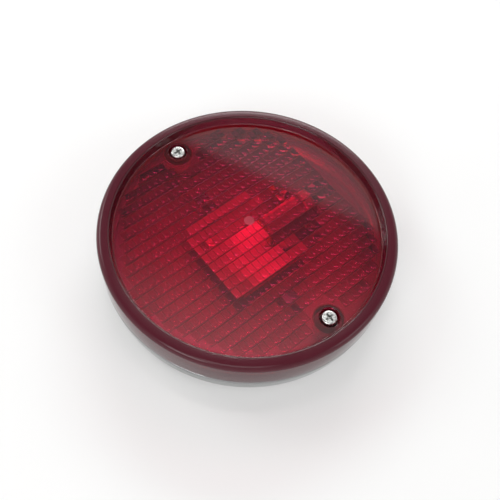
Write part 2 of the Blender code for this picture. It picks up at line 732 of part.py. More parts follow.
def make_earth_tag(low):
    """Bent solder tag under the upper clamp rivet."""
    near = RIVET_Y - RIVET_HEAD
    far = RIVET_Y + EARTH_REACH
    outline = [
        (near, low),
        (far, low),
        (far, low + EARTH_HEIGHT),
        (far - TAG_THICKNESS, low + EARTH_HEIGHT),
        (far - TAG_THICKNESS, low + TAG_THICKNESS),
        (near, low + TAG_THICKNESS),
    ]
    data = extruded_mesh("earth_tag", outline, RIVET_X - RIVET_HEAD, RIVET_X + RIVET_HEAD, "X")
    tag = add_piece(data, brass)
    drill(tag, [(RIVET_HOLE, (RIVET_X, RIVET_Y))], low, low + TAG_THICKNESS)


def make_mount_nut(label, sign):
    """Hexagon nut on the pan floor for a body bolt that comes in from the back."""
    low = FLOOR_TOP + SEAT_GAP
    corner = NUT_ACROSS_FLATS / math.sqrt(3.0)
    outline = arc(0.0, 0.0, corner, 0.0, 360.0, NUT_SIDES)[:-1]
    spot = (0.0, sign * BOLT_SPACING / 2, 0.0)
    data = extruded_mesh("mount_nut_" + label, outline, low, low + NUT_HEIGHT)
    nut = add_piece(data, zinc, place=spot)
    drill(nut, [(BOLT_RADIUS + BOLT_CLEARANCE, spot[:2])], low, low + NUT_HEIGHT)


def make_cable_grommet():
    flange = GROMMET_NECK + GROMMET_FLANGE
    neck_low = PAN_BOTTOM - SEAT_GAP
    neck_high = FLOOR_TOP + SEAT_GAP
    low = neck_low - min(GROMMET_FLANGE_HEIGHT, PAD_THICKNESS - SEAT_GAP)
    high = neck_high + GROMMET_FLANGE_HEIGHT
    profile = [
        (GROMMET_BORE, low),
        (flange, low),
        (flange, neck_low),
        (GROMMET_NECK, neck_low),
        (GROMMET_NECK, neck_high),
        (flange, neck_high),
        (flange, high),
        (GROMMET_BORE, high),
    ]
    data = turned_mesh("cable_grommet", profile, SMALL_SIDES)
    add_piece(data, rubber, place=(GROMMET_X, GROMMET_SIDE, 0.0))


def make_bulb_axis():
    """Empty on the bulb's axis, whose own Z runs along the lamp's +X."""
    axis = bpy.data.objects.new("bulb_axis", None)
    bpy.context.scene.collection.objects.link(axis)
    axis.location = (0.0, 0.0, AXIS_Z)
    axis.rotation_euler = (0.0, math.pi / 2, 0.0)
    return axis


def main():
    for old in list(bpy.data.objects):
        bpy.data.objects.remove(old)
    make_seat_pad()
    make_base_pan()
    make_lens_gasket()
    make_lens()
    make_reflector_tray()
    axis = make_bulb_axis()
    make_bulb(axis)
    make_bulb_holder(axis)
    for label, sign in ENDS:
        make_screw(label, sign)
        make_mount_nut(label, sign)
    make_cable_grommet()


main()
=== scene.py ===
"""Looks of the round rear lamp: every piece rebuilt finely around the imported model, then lit and framed.

Units are metres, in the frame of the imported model. Sizes and places come from its nodes' boxes.
"""
import math

import bmesh
import bpy
from mathutils import Matrix, Vector


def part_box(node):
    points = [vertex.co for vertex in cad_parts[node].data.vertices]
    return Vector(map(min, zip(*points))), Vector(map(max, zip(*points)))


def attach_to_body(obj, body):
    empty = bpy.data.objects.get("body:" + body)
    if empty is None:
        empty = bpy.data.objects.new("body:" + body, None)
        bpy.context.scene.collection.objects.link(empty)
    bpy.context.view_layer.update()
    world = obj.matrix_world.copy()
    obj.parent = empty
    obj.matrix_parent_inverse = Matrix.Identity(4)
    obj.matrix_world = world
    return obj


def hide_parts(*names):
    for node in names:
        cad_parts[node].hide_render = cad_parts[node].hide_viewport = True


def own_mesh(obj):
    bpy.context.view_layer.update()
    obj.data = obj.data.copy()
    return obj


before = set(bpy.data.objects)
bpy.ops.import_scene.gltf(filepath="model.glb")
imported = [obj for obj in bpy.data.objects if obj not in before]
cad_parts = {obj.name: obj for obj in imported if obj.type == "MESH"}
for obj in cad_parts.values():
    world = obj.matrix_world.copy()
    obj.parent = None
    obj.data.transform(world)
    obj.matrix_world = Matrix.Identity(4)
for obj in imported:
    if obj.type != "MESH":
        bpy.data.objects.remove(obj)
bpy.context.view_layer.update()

SCENE = bpy.context.scene
MM = 0.001
FINE_SIDES = 192
ROUND_SIDES = 64
SMALL_SIDES = 32
CORNER_STEPS = 6
SMOOTH_ANGLE = math.radians(24.0)
PRISM_ANGLE = math.radians(14.0)
MERGE_GAP = 1e-6
DOWN = (0.0, 0.0, -1.0)

BOX = {name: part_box(name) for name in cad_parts}
ENDS = (("top", 1.0), ("bottom", -1.0))


def at(spot):
    return Matrix.Translation((*spot, 0.0))


def middle(node):
    low, high = BOX[node]
    return (low + high) / 2


def heights(node):
    """Low and high z of a node, and how far it reaches in x."""
    low, high = BOX[node]
    return low.z, high.z, high.x


def stations(node):
    """Low and high x of a node, and how far it reaches in y."""
    low, high = BOX[node]
    return low.x, high.x, high.y


# Lens, from its box inwards
LENS_LOW, RIM_TOP, LENS_RADIUS = heights("lens")
LENS_INNER = LENS_RADIUS - 3.2 * MM
REBATE_RADIUS = LENS_INNER + 1.6 * MM
REBATE_TOP = LENS_LOW + 1.3 * MM
RIM_INNER = LENS_RADIUS - 5.8 * MM
FACE_TOP = RIM_TOP - 4.2 * MM
FACE_UNDER = FACE_TOP - 2.9 * MM
FACE_RADIUS = RIM_INNER - 1.2 * MM
FACE_EDGE = FACE_RADIUS - 1.5 * MM
UNDER_EDGE = LENS_INNER - 2.8 * MM
GATE_SPOT = Vector((3.1 * MM, 3.6 * MM, 0.0))
GATE_RADIUS = 2.45 * MM
GATE_RISE = 0.07 * MM
RIM_FALL = 0.5 * MM
RIM_ROUND = 0.9 * MM
SHOULDER = 2.7 * MM
LOOK_MARGIN = 0.2 * MM

# Pillow prisms under the face
CELL_X = 3.28 * MM
CELL_Y = 5.4 * MM
CELL_STEPS_X = 5
CELL_STEPS_Y = 7
PILLOW_RADIUS = 8.8 * MM
COLUMN_GROOVE = 0.10 * MM
COLUMN_GROOVE_DEPTH = 0.03 * MM
ROW_GROOVE = 0.24 * MM
ROW_GROOVE_DEPTH = 0.045 * MM
PRISM_LIMIT_X = 49.3 * MM
PRISM_REACH = UNDER_EDGE - 0.9 * MM
BOSS_CLEAR = 7.9 * MM

# Screws, wells and bosses
SCREW_Y = middle("lens_screw_top").y
SCREW_LOW, HEAD_TOP, HEAD_RADIUS = heights("lens_screw_top")
HEAD_LOW = HEAD_TOP - 2.4 * MM
THREAD_RADIUS = 2.0 * MM
THREAD_DEPTH = 0.38 * MM
THREAD_PITCH = 0.7 * MM
THREAD_TOP = HEAD_LOW - THREAD_PITCH
THREAD_STEPS = 8
CROSS_WIDTH = 1.05 * MM
CROSS_REACH = 2.1 * MM
CROSS_DEPTH = 1.3 * MM
CROSS_TAPER = 0.45
WELL_RADIUS = 4.63 * MM
WELL_FLOOR = FACE_TOP - 3.6 * MM
BOSS_RADIUS = 6.7 * MM
BOSS_LOW = FACE_TOP - 9.8 * MM
BOSS_FLARE = 0.7 * MM
WELL_MOUTH = FACE_TOP - 0.3 * MM
SCREW_HOLE = 2.3 * MM
POST_SPIGOT = 2.5 * MM
POST_HOLE_FLOOR = 3.8 * MM
SEAT_GAP = 0.3 * MM

# Pan and what is fixed to it
PAN_LOW, PAN_TOP, PAN_RADIUS = heights("base_pan")
PAN_FOOT = PAN_RADIUS - 0.6 * MM
PAN_SHEET = 1.0 * MM
PAN_FLANGE = PAN_RADIUS - 6.0 * MM
PAN_CORNER = 3.0 * MM
PAN_BEAD = 0.4 * MM
PAN_FLAT = PAN_FOOT - 4.0 * MM
PAN_BRIGHT_EDGE = PAN_RADIUS - 1.5 * MM
HOLE_EDGE = 0.15 * MM
FLOOR_TOP = PAN_LOW + PAN_SHEET
BOLT_Y = middle("mount_nut_top").y
BOLT_HOLE = 2.75 * MM
POST_HOLE = 2.8 * MM
RIVET_HOLE = 1.8 * MM
GROMMET = middle("cable_grommet")
GROMMET_HOLE = 5.0 * MM
GROMMET_WALL = 1.1 * MM
GROMMET_FLANGE = 1.8 * MM
PAD_BOLT_HOLE = 4.0 * MM
PAD_CABLE_HOLE = 6.9 * MM
GASKET_WIDTH = 2.6 * MM
NUT_FLAT = 4.0 * MM
NUT_BORE = 2.5 * MM
NUT_SIDES = 48
RIVET_SHANK = 1.5 * MM
RIVET_HEAD = 1.0 * MM

# Bulb axis
AXIS_Z = middle("bulb_glass").z
AXIS = Matrix.Translation((0.0, 0.0, AXIS_Z)) @ Matrix.Rotation(math.pi / 2, 4, "Y")
BULB_RADIUS = -BOX["bulb_glass"][0].x
NECK_RADIUS = 6.6 * MM
GLASS_WALL = 0.6 * MM
NECK_END = BOX["bulb_glass"][1].x
BALL_STEPS = 24
STEM_RADIUS = 1.6 * MM
WIRE_RADIUS = 0.3 * MM
WIRE_ROOT = 1.3 * MM
WIRE_SPREAD = 3.2 * MM
FILAMENT_TURNS = 22
FILAMENT_COIL = 0.27 * MM
FILAMENT_WIRE = 0.08 * MM

# Holder
HOLDER_START, HOLDER_END, HOLDER_OUTER = stations("bulb_holder")
HOLDER_SHEET = 0.5 * MM
HOLDER_LIP = 0.8 * MM
PIN_STATION = middle("bayonet_pin_top").x
SLOT_HALF = 1.3 * MM
SLOT_TURN = math.radians(25.0)
PUSH_TRAVEL = 1.5 * MM
BARREL = HOLDER_OUTER - HOLDER_SHEET / 2
SLOT_ANGLE = math.asin(SLOT_HALF / BARREL)
SLOT_DEEP = PIN_STATION + PUSH_TRAVEL + SLOT_HALF
BARREL_STEP = 1.5 * MM
BARREL_TURN = math.radians(5.0)
CONTACT_SHANK = 1.2 * MM
CONTACT_HEAD = 0.7 * MM
SPRING_WIRE = 0.4 * MM
SPRING_COIL = 4.5 * MM
SPRING_TURNS = 3

# Tray
TRAY_LOW, TRAY_TOP, _ = heights("reflector_tray")
TRAY_RIM = BOX["reflector_tray"][1].y
TRAY_FLOOR = TRAY_RIM - 6.0 * MM
TRAY_SHEET = 0.5 * MM
TRAY_CORNER = 3.0 * MM
NOTCH_HALF = HOLDER_OUTER + 0.6 * MM
# Painted pool of light on the tray: its middle, and the distances over which it fades out
TRAY_GLOW_SPOT = (4.0 * MM, -6.5 * MM, TRAY_LOW)
TRAY_GLOW_FULL = 8.0 * MM
TRAY_GLOW_END = 18.0 * MM

# Camera, fitted to the rim and lower edges of the lamp
CAMERA_PLACE = Vector((-0.111446, -0.110723, 0.285567))
CAMERA_TARGET = Vector((-0.008317, -0.010580, 0.030))
CAMERA_ROLL = math.radians(7.667)
CAMERA_LENS = 46.72
SENSOR_WIDTH = 36.0
NEAR_CLIP = 0.01

# Floor and light
FLOOR_LIFT = 0.09
# Distances between which the floor runs out into the white of the room
FLOOR_FADE = (0.5, 1.2)
# Brightness of the room by the height of the direction, from the horizon up
ROOM_LIGHT = ((0.0, 0.88), (0.45, 0.78), (0.75, 0.28), (1.0, 0.25))
AIM = (0.0, 0.0, 0.0)
# Soft boxes: name, middle, aim, width, depth, radiance, turn in degrees, share of the depth that fades
SOFT_BOXES = (
    ("ceiling_panel", (0.80, 0.65, 1.03), None, 0.80, 0.60, 0.8, 113.3, 0.07),
    ("near_panel", (0.288, 0.288, 1.03), None, 0.75, 0.315, 1.2, -45.0, 1.0),
    ("back_panel", (-0.45, -0.45, 1.05), AIM, 0.60, 0.50, 2.2, 0.0, 0.0),
    ("glint_strip", (0.118, 0.25, 1.03), None, 0.22, 0.02, 40.0, -60.0, 0.0),
    ("far_window", (0.90, 0.90, 0.75), AIM, 1.10, 0.25, 9.0, 0.0, 0.0),
    ("window", (-1.15, -0.35, 0.85), AIM, 0.55, 0.45, 5.4, 0.0, 0.0),
    ("side_window", (-0.35, 1.1, 0.85), AIM, 0.55, 0.45, 4.4, 0.0, 0.0),
    ("right_window", (0.6, -1.1, 0.85), AIM, 0.55, 0.45, 2.6, 0.0, 0.0),
)


# Shader building


class Nodes:
    """The node tree of a material, a lamp or the world, with short ways to add to it."""

    def __init__(self, owner):
        owner.use_nodes = True
        self.tree = owner.node_tree

    def feed(self, socket, source):
        """Links another node's output to a socket, or sets its value."""
        if isinstance(source, bpy.types.NodeSocket):
            self.tree.links.new(source, socket)
        else:
            socket.default_value = source

    def node(self, kind, inputs=None, **values):
        made = self.tree.nodes.new(kind)
        for key, value in values.items():
            setattr(made, key, value)
        for socket, source in (inputs or {}).items():
            self.feed(made.inputs[socket], source)
        return made

    def spread(self, source, low, high, start=0.3, end=0.7, kind="LINEAR"):
        """Maps source from start..end to low..high."""
        inputs = {"Value": source, "From Min": start, "From Max": end, "To Min": low, "To Max": high}
        return self.node("ShaderNodeMapRange", inputs, interpolation_type=kind).outputs["Result"]

    def ramp(self, source, *stops):
        """Colours along source, as (place, colour) stops."""
        ramp = self.node("ShaderNodeValToRGB", {"Fac": source})
        elements = ramp.color_ramp.elements
        while len(elements) < len(stops):
            elements.new(0.5)
        for element, (place, color) in zip(elements, stops):
            element.position = place
            element.color = (*color, 1.0)
        return ramp.outputs["Color"]

    def by_ray(self, ray, others, chosen, output):
        """Sends the shader chosen to the output for rays of one kind, and others for the rest."""
        path = self.node("ShaderNodeLightPath")
        mix = self.node("ShaderNodeMixShader", {"Fac": path.outputs[ray], 1: others, 2: chosen})
        self.feed(output.inputs["Surface"], mix.outputs["Shader"])


class Look(Nodes):
    """One procedural material round a Principled shader."""

    def __init__(self, name, color, roughness, **values):
        self.material = bpy.data.materials.new(name)
        super().__init__(self.material)
        self.shader = self.tree.nodes["Principled BSDF"]
        self.place = self.node("ShaderNodeTexCoord").outputs["Object"]
        self.set("Base Color", (*color, 1.0))
        self.set("Roughness", roughness)
        for socket, value in values.items():
            self.set(socket.replace("_", " "), value)
        self.material.diffuse_color = (*color, 1.0)

    def set(self, socket, source):
        self.feed(self.shader.inputs[socket], source)

    def noise(self, scale, detail=4.0, stretch=(1.0, 1.0, 1.0)):
        """Noise with about scale features per metre."""
        mapping = self.node("ShaderNodeMapping", {"Vector": self.place, "Scale": stretch})
        inputs = {"Vector": mapping.outputs["Vector"], "Scale": scale, "Detail": detail}
        return self.node("ShaderNodeTexNoise", inputs).outputs["Fac"]

    def specks(self, scale, size):
        """Scattered dots: 1 at the middle of a few cells, 0 between them."""
        cells = self.node("ShaderNodeTexVoronoi", {"Vector": self.place, "Scale": scale})
        return self.spread(cells.outputs["Distance"], 1.0, 0.0, 0.0, size)

    def math(self, operation, *sources):
        made = self.node("ShaderNodeMath", dict(enumerate(sources)), operation=operation)
        return made.outputs["Value"]

    def bump(self, height, depth, strength):
        inputs = {"Height": height, "Distance": depth, "Strength": strength}
        self.set("Normal", self.node("ShaderNodeBump", inputs).outputs["Normal"])

    def rolled_grain(self, low, high):
        """Roughness between low and high, and a bump, along the lines of rolled sheet."""
        grain = self.noise(500.0, 4.0, (1.0, 8.0, 1.0))
        self.set("Roughness", self.spread(grain, low, high))
        self.bump(grain, 0.02 * MM, 0.25)

    def pass_lamps(self, tint):
        """Lets the lamps shine through the clear material, so that what is inside is lit."""
        clear = self.node("ShaderNodeBsdfTransparent", {"Color": (*tint, 1.0)})
        output = self.tree.nodes["Material Output"]
        self.by_ray("Is Shadow Ray", self.shader.outputs["BSDF"], clear.outputs["BSDF"], output)


def two_tones(look, scale, dark, pale, detail=4.0):
    """Colour that drifts between two tones."""
    look.set("Base Color", look.ramp(look.noise(scale, detail), (0.3, dark), (0.7, pale)))


def red_acrylic(name, low, high, color, clear=1.0, dust=0.5, grain=0.25, grain_scale=160.0, **values):
    """Red moulding, its roughness between low and high, with flow marks or a satin grain, and dust."""
    look = Look(name, color, low, Transmission_Weight=clear, IOR=1.49, **values)
    two_tones(look, 60.0, [0.96 * level for level in color], [min(1.0, 1.04 * level) for level in color])
    haze = look.spread(look.noise(900.0), low, high)
    specks = look.math("MULTIPLY", look.specks(420.0, 0.09), dust)
    look.set("Roughness", look.math("MAXIMUM", haze, specks))
    look.bump(look.noise(grain_scale, 2.0), 0.03 * MM, grain)
    if clear > 0.0:
        look.pass_lamps([math.sqrt(level) for level in color])
    return look.material


def grained(name, color, roughness, tones, haze, grain, stretch=(1.0, 1.0, 1.0), clear=False, **values):
    """Two drifting tones, uneven roughness and a fine grain.

    tones is (scale, dark, pale, detail), haze is (scale, detail, low, high) and grain is
    (scale, detail, depth, strength).
    """
    look = Look(name, color, roughness, **values)
    two_tones(look, *tones)
    scale, detail, *reach = haze
    look.set("Roughness", look.spread(look.noise(scale, detail), *reach))
    scale, detail, *height = grain
    look.bump(look.noise(scale, detail, stretch), *height)
    if clear:
        look.pass_lamps(color)
    return look.material


def bright_zinc(name, level):
    dark = [level * share for share in (0.86, 0.89, 0.83)]
    pale = [level * share for share in (1.11, 1.11, 1.10)]
    return grained(
        name, (level, level, level * 0.98), 0.26, (700.0, dark, pale, 5.0),
        (1500.0, 5.0, 0.16, 0.38), (2200.0, 3.0, 0.02 * MM, 0.4), Metallic=1.0,
    )


def tinned_sheet(name, level, low, high):
    """Plated sheet of a grey level, its roughness between low and high."""
    look = Look(name, (level, level, level * 0.99), low, Metallic=1.0)
    dark = [level * share for share in (0.9, 0.9, 0.88)]
    pale = [level * share for share in (1.08, 1.08, 1.07)]
    two_tones(look, 160.0, dark, pale, 5.0)
    look.rolled_grain(low, high)
    return look.material


def bright_tray():
    """Satin reflector, its base colour bright round a spot near the middle and darker towards its rim: a
    painted pool of light.
    """
    look = Look("bright_tray", (0.90, 0.90, 0.89), 0.5, Metallic=0.1)
    # Painted pool of light: the distance from its spot, made uneven, sets how bright the base colour is
    inputs = {0: look.place, 1: TRAY_GLOW_SPOT}
    distance = look.node("ShaderNodeVectorMath", inputs, operation="DISTANCE")
    uneven = look.spread(look.noise(300.0), -1.5 * MM, 1.5 * MM)
    from_glow = look.math("ADD", distance.outputs["Value"], uneven)
    glow_fade = look.spread(from_glow, 0.0, 1.0, TRAY_GLOW_FULL, TRAY_GLOW_END)
    look.set("Base Color", look.ramp(glow_fade, (0.0, (0.95, 0.95, 0.94)), (1.0, (0.36, 0.355, 0.35))))
    look.rolled_grain(0.45, 0.6)
    return look.material


# Reds of the lens, deeper and less clear where it is thick
FACE_RED = (1.0, 0.045, 0.185)
EDGE_RED = (0.09, 0.006, 0.014)
DEEP_RED = (0.17, 0.006, 0.019)
RIM_RED = (0.080, 0.009, 0.018)
RED = red_acrylic("red_acrylic", 0.02, 0.06, FACE_RED, 0.99)
RED_MATT = red_acrylic("red_acrylic_matt", 0.14, 0.20, FACE_RED, 0.95, 0.0, 0.1)
RED_GATE = red_acrylic("red_acrylic_gate", 0.34, 0.46, FACE_RED, 0.96, 0.0, 0.1)
RED_EDGE = red_acrylic("red_acrylic_edge", 0.03, 0.07, EDGE_RED, 0.35)
RED_DEEP = red_acrylic("red_acrylic_deep", 0.03, 0.07, DEEP_RED, 0.35)
RED_SATIN = red_acrylic(
    "red_acrylic_satin", 0.12, 0.26, RIM_RED, 0.0, 0.0, 0.5, 2400.0, Specular_IOR_Level=0.3
)
LENS_LOOKS = [RED, RED_MATT, RED_DEEP, RED_SATIN, RED_EDGE, RED_GATE]
ON_FACE, ON_PLAIN, ON_DEEP, ON_SATIN, ON_EDGE, ON_GATE = range(len(LENS_LOOKS))
CHROME = grained(
    "chrome_plate", (0.35, 0.35, 0.354), 0.07, (45.0, (0.32, 0.32, 0.324), (0.38, 0.38, 0.384), 4.0),
    (130.0, 6.0, 0.05, 0.16), (260.0, 3.0, 0.02 * MM, 0.3), (1.0, 1.0, 3.0), Metallic=1.0,
)
# The pan's inside, where the plating is thin and grey
DULL = grained(
    "dull_plate", (0.21, 0.208, 0.205), 0.35, (60.0, (0.19, 0.188, 0.185), (0.23, 0.228, 0.224), 6.0),
    (200.0, 5.0, 0.30, 0.42), (900.0, 4.0, 0.02 * MM, 0.05), Metallic=0.9,
)
RUBBER = grained(
    "black_rubber", (0.022, 0.022, 0.022), 0.7,
    (300.0, (0.014, 0.014, 0.014), (0.036, 0.035, 0.034), 6.0),
    (700.0, 4.0, 0.55, 0.85), (2500.0, 4.0, 0.03 * MM, 0.5),
)
ZINC = bright_zinc("bright_zinc", 0.72)
AGED_ZINC_AND_RECESS_SHADE = bright_zinc("aged_zinc_and_recess_shade", 0.40)
TIN = tinned_sheet("tinned_sheet", 0.76, 0.18, 0.34)
AGED_TIN = tinned_sheet("aged_tin", 0.28, 0.32, 0.46)
TRAY_SHINE = bright_tray()
BRASS = grained(
    "plain_brass", (0.66, 0.46, 0.19), 0.28, (350.0, (0.50, 0.33, 0.12), (0.74, 0.54, 0.24), 6.0),
    (900.0, 5.0, 0.20, 0.42), (1800.0, 3.0, 0.02 * MM, 0.3), Metallic=1.0,
)
PHENOLIC = grained(
    "brown_phenolic", (0.11, 0.048, 0.024), 0.42,
    (900.0, (0.07, 0.028, 0.014), (0.16, 0.075, 0.038), 7.0),
    (1400.0, 4.0, 0.34, 0.55), (3000.0, 4.0, 0.02 * MM, 0.4),
)
GLASS = grained(
    "clear_glass", (0.97, 0.98, 0.98), 0.02, (120.0, (0.95, 0.97, 0.97), (0.99, 0.99, 0.99), 4.0),
    (500.0, 4.0, 0.01, 0.05), (140.0, 2.0, 0.03 * MM, 0.2), clear=True, Transmission_Weight=1.0, IOR=1.5,
)
# The bulb, frosted on the inside, so that it glows with what falls on it
FROSTED = grained(
    "frosted_glass", (0.95, 0.95, 0.94), 0.5, (200.0, (0.91, 0.91, 0.90), (0.97, 0.97, 0.96), 4.0),
    (900.0, 4.0, 0.4, 0.65), (3000.0, 2.0, 0.01 * MM, 0.3), Transmission_Weight=0.12, IOR=1.5,
)
TUNGSTEN = grained(
    "drawn_tungsten", (0.32, 0.32, 0.33), 0.4, (2500.0, (0.22, 0.22, 0.23), (0.42, 0.42, 0.43), 4.0),
    (4000.0, 4.0, 0.3, 0.5), (5000.0, 4.0, 0.01 * MM, 0.4), Metallic=1.0,
)


# Mesh building


def rounded(corners, closed=False, steps=CORNER_STEPS):
    """Line through (a, b) or (a, b, radius) corners, those with a radius turned by an arc of it."""
    points = []
    for index, (a, b, *radii) in enumerate(corners):
        here = Vector((a, b))
        radius = sum(radii)
        is_end = not closed and index in (0, len(corners) - 1)
        if is_end or radius == 0.0:
            points.append(here)
            continue
        back = (Vector(corners[index - 1][:2]) - here).normalized()
        ahead = (Vector(corners[(index + 1) % len(corners)][:2]) - here).normalized()
        half = back.angle(ahead) / 2
        center = here + (back + ahead).normalized() * radius / math.sin(half)
        first = here + back * radius / math.tan(half) - center
        last = here + ahead * radius / math.tan(half) - center
        turn = first.angle_signed(last)
        start = math.atan2(first.y, first.x)
        for step in range(steps + 1):
            angle = start - turn * step / steps
            points.append(center + polar(radius, angle, 0.0).xy)
    return points


def arc(radius, start, end, steps):
    """(radius, station) points of a ball's outline, from angle start to end off the axis, in degrees."""
    angles = [math.radians(start + (end - start) * step / steps) for step in range(steps + 1)]
    return [polar(radius, angle, 0.0).yx for angle in angles]


def polar(radius, angle, height):
    return Vector((radius * math.cos(angle), radius * math.sin(angle), height))


def band(inner, outer, low, high, edge):
    """Section of a flat ring, its four corners rounded by edge."""
    return [(inner, low, edge), (outer, low, edge), (outer, high, edge), (inner, high, edge)]


def plug(radius, start, end, start_round, end_round, taper=1.0):
    """Section of a solid disc, its far end narrowed by taper."""
    near, far = (radius, start, start_round), (radius * taper, end, end_round)
    return [(0.0, start), near, far, (0.0, end)]


def turns(sides):
    """Angles of the points of a ring."""
    return [math.tau * side / sides for side in range(sides)]


def ring(bm, radius, height, sides, place):
    if radius < MERGE_GAP:
        return [bm.verts.new(place @ Vector((0.0, 0.0, height)))]
    return [bm.verts.new(place @ polar(radius, angle, height)) for angle in turns(sides)]


def join(bm, first, second):
    """Faces between two rings, either of which may be a single point."""
    count = max(len(first), len(second))
    for side in range(count):
        after = (side + 1) % count
        corners = [first[side % len(first)], first[after % len(first)]]
        corners += [second[after % len(second)], second[side % len(second)]]
        bm.faces.new(list(dict.fromkeys(corners)))


def spin(bm, profile, sides, place=Matrix(), closed=False):
    """Rings of (radius, height) points joined to each other."""
    rings = [ring(bm, radius, height, sides, place) for radius, height in profile]
    for first, second in zip(rings, rings[1:]):
        join(bm, first, second)
    if closed:
        join(bm, rings[-1], rings[0])
    return rings


def loop_edges(bm, verts):
    sides = zip(verts, verts[1:] + verts[:1])
    return [bm.edges.get(side) or bm.edges.new(side) for side in sides]


def fill(bm, loops, normal=(0.0, 0.0, 1.0), outline=()):
    """Flat faces between closed loops of points, and an outline of edges; returns the faces."""
    edges = [*outline, *(edge for loop in loops for edge in loop_edges(bm, loop))]
    made = bmesh.ops.triangle_fill(bm, edges=edges, use_beauty=True, use_dissolve=False, normal=normal)
    return [item for item in made["geom"] if isinstance(item, bmesh.types.BMFace)]


def add_object(name, data):
    made = bpy.data.objects.new(name, data)
    SCENE.collection.objects.link(made)
    return made


def finish(bm, name, materials, sharp=SMOOTH_ANGLE):
    """Turns a mesh under construction into an object with outward faces."""
    bmesh.ops.recalc_face_normals(bm, faces=bm.faces)
    mesh = bpy.data.meshes.new(name)
    bm.to_mesh(mesh)
    bm.free()
    for material in materials:
        mesh.materials.append(material)
    mesh.shade_smooth()
    mesh.set_sharp_from_angle(angle=sharp)
    return add_object(name, mesh)


def attach(piece, body, slot, *nodes):
    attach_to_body(piece, body)
    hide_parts(*nodes)


def turned(name, corners, material, place=Matrix(), sides=SMALL_SIDES, closed=False):
    """A turned piece from its rounded profile."""
    bm = bmesh.new()
    spin(bm, rounded(corners, closed), sides, place, closed)
    return finish(bm, name, [material])


def tube(name, path, radius, material, sides=10, sharp=SMOOTH_ANGLE):
    """A round wire along a path, with flat ends."""
    bm = bmesh.new()
    angles = turns(sides)
    rings = []
    across = None
    for index, point in enumerate(path):
        ahead = path[min(index + 1, len(path) - 1)] - path[max(index - 1, 0)]
        ahead.normalize()
        across = ahead.orthogonal() if across is None else across - ahead * across.dot(ahead)
        across.normalize()
        aside = ahead.cross(across)
        rings.append([
            bm.verts.new(point + (across * math.cos(a) + aside * math.sin(a)) * radius) for a in angles
        ])
    for first, second in zip(rings, rings[1:]):
        join(bm, first, second)
    for end in (rings[0], rings[-1]):
        bm.faces.new(end)
    return finish(bm, name, [material], sharp)


def pair(radius, y):
    """A (radius, spot) hole at each end."""
    return [(radius, Vector((0.0, sign * y))) for _, sign in ENDS]


def close_flats(bm, shell, holes, low, high, edge=0.0):
    """Flat underside and top inside a spun shell, with a bore for each (radius, spot) hole."""
    low_loops, top_loops = [shell[0]], [shell[-1]]
    for radius, spot in holes:
        profile = [(radius, low), (radius, high)]
        if edge:
            wide = radius + edge
            profile = [(wide, low), (radius, low + edge), (radius, high - edge), (wide, high)]
        bore = spin(bm, profile, SMALL_SIDES, at(spot))
        low_loops.append(bore[0])
        top_loops.append(bore[-1])
    fill(bm, low_loops, DOWN)
    fill(bm, top_loops)


def thicken(piece, thickness):
    """Gives an open sheet its thickness, half to each side."""
    solid = piece.modifiers.new("thickness", "SOLIDIFY")
    solid.thickness = thickness
    solid.offset = 0.0
    solid.use_even_offset = True
    return piece


def sheet_strip(name, path, low, high, steps, material, thickness):
    """A bent strip: a path of (y, z) points drawn along X."""
    bm = bmesh.new()
    rows = []
    for step in range(steps + 1):
        x = low + (high - low) * step / steps
        rows.append([bm.verts.new((x, y, z)) for y, z in path])
    for first, second in zip(rows, rows[1:]):
        for k in range(len(path) - 1):
            bm.faces.new((first[k], first[k + 1], second[k + 1], second[k]))
    return thicken(finish(bm, name, [material]), thickness)


# Lens


def screw_place(sign):
    return at((0.0, sign * SCREW_Y))


def pillow_cells():
    """(column, row) of each whole cell of the prism field."""
    bosses = [Vector((0.0, sign * SCREW_Y)) for _, sign in ENDS]
    columns = math.ceil(LENS_RADIUS / CELL_X)
    rows = math.ceil(LENS_RADIUS / CELL_Y)
    for column in range(-columns, columns):
        for row in range(-rows, rows + 1):
            xs = (column * CELL_X, (column + 1) * CELL_X)
            ys = ((row - 0.5) * CELL_Y, (row + 0.5) * CELL_Y)
            corners = [Vector((x, y)) for x in xs for y in ys]
            fits = max(corner.length for corner in corners) < PRISM_REACH and xs[1] < PRISM_LIMIT_X
            near = min((corner - boss).length for corner in corners for boss in bosses)
            if fits and near > BOSS_CLEAR:
                yield column, row


def cell_line(size, steps, groove, groove_depth):
    """(offset, rise) of points across one cell, from its low border to just short of its high one.

    The surface rises from the cell's middle as a ball's does, and by a narrow groove at the border.
    """
    def rise(offset):
        return offset ** 2 / (2 * PILLOW_RADIUS)

    half = size / 2
    inner = half - groove
    offsets = [-inner + 2 * inner * step / steps for step in range(steps + 1)]
    return [(-half, rise(half) + groove_depth)] + [(offset, rise(offset)) for offset in offsets]


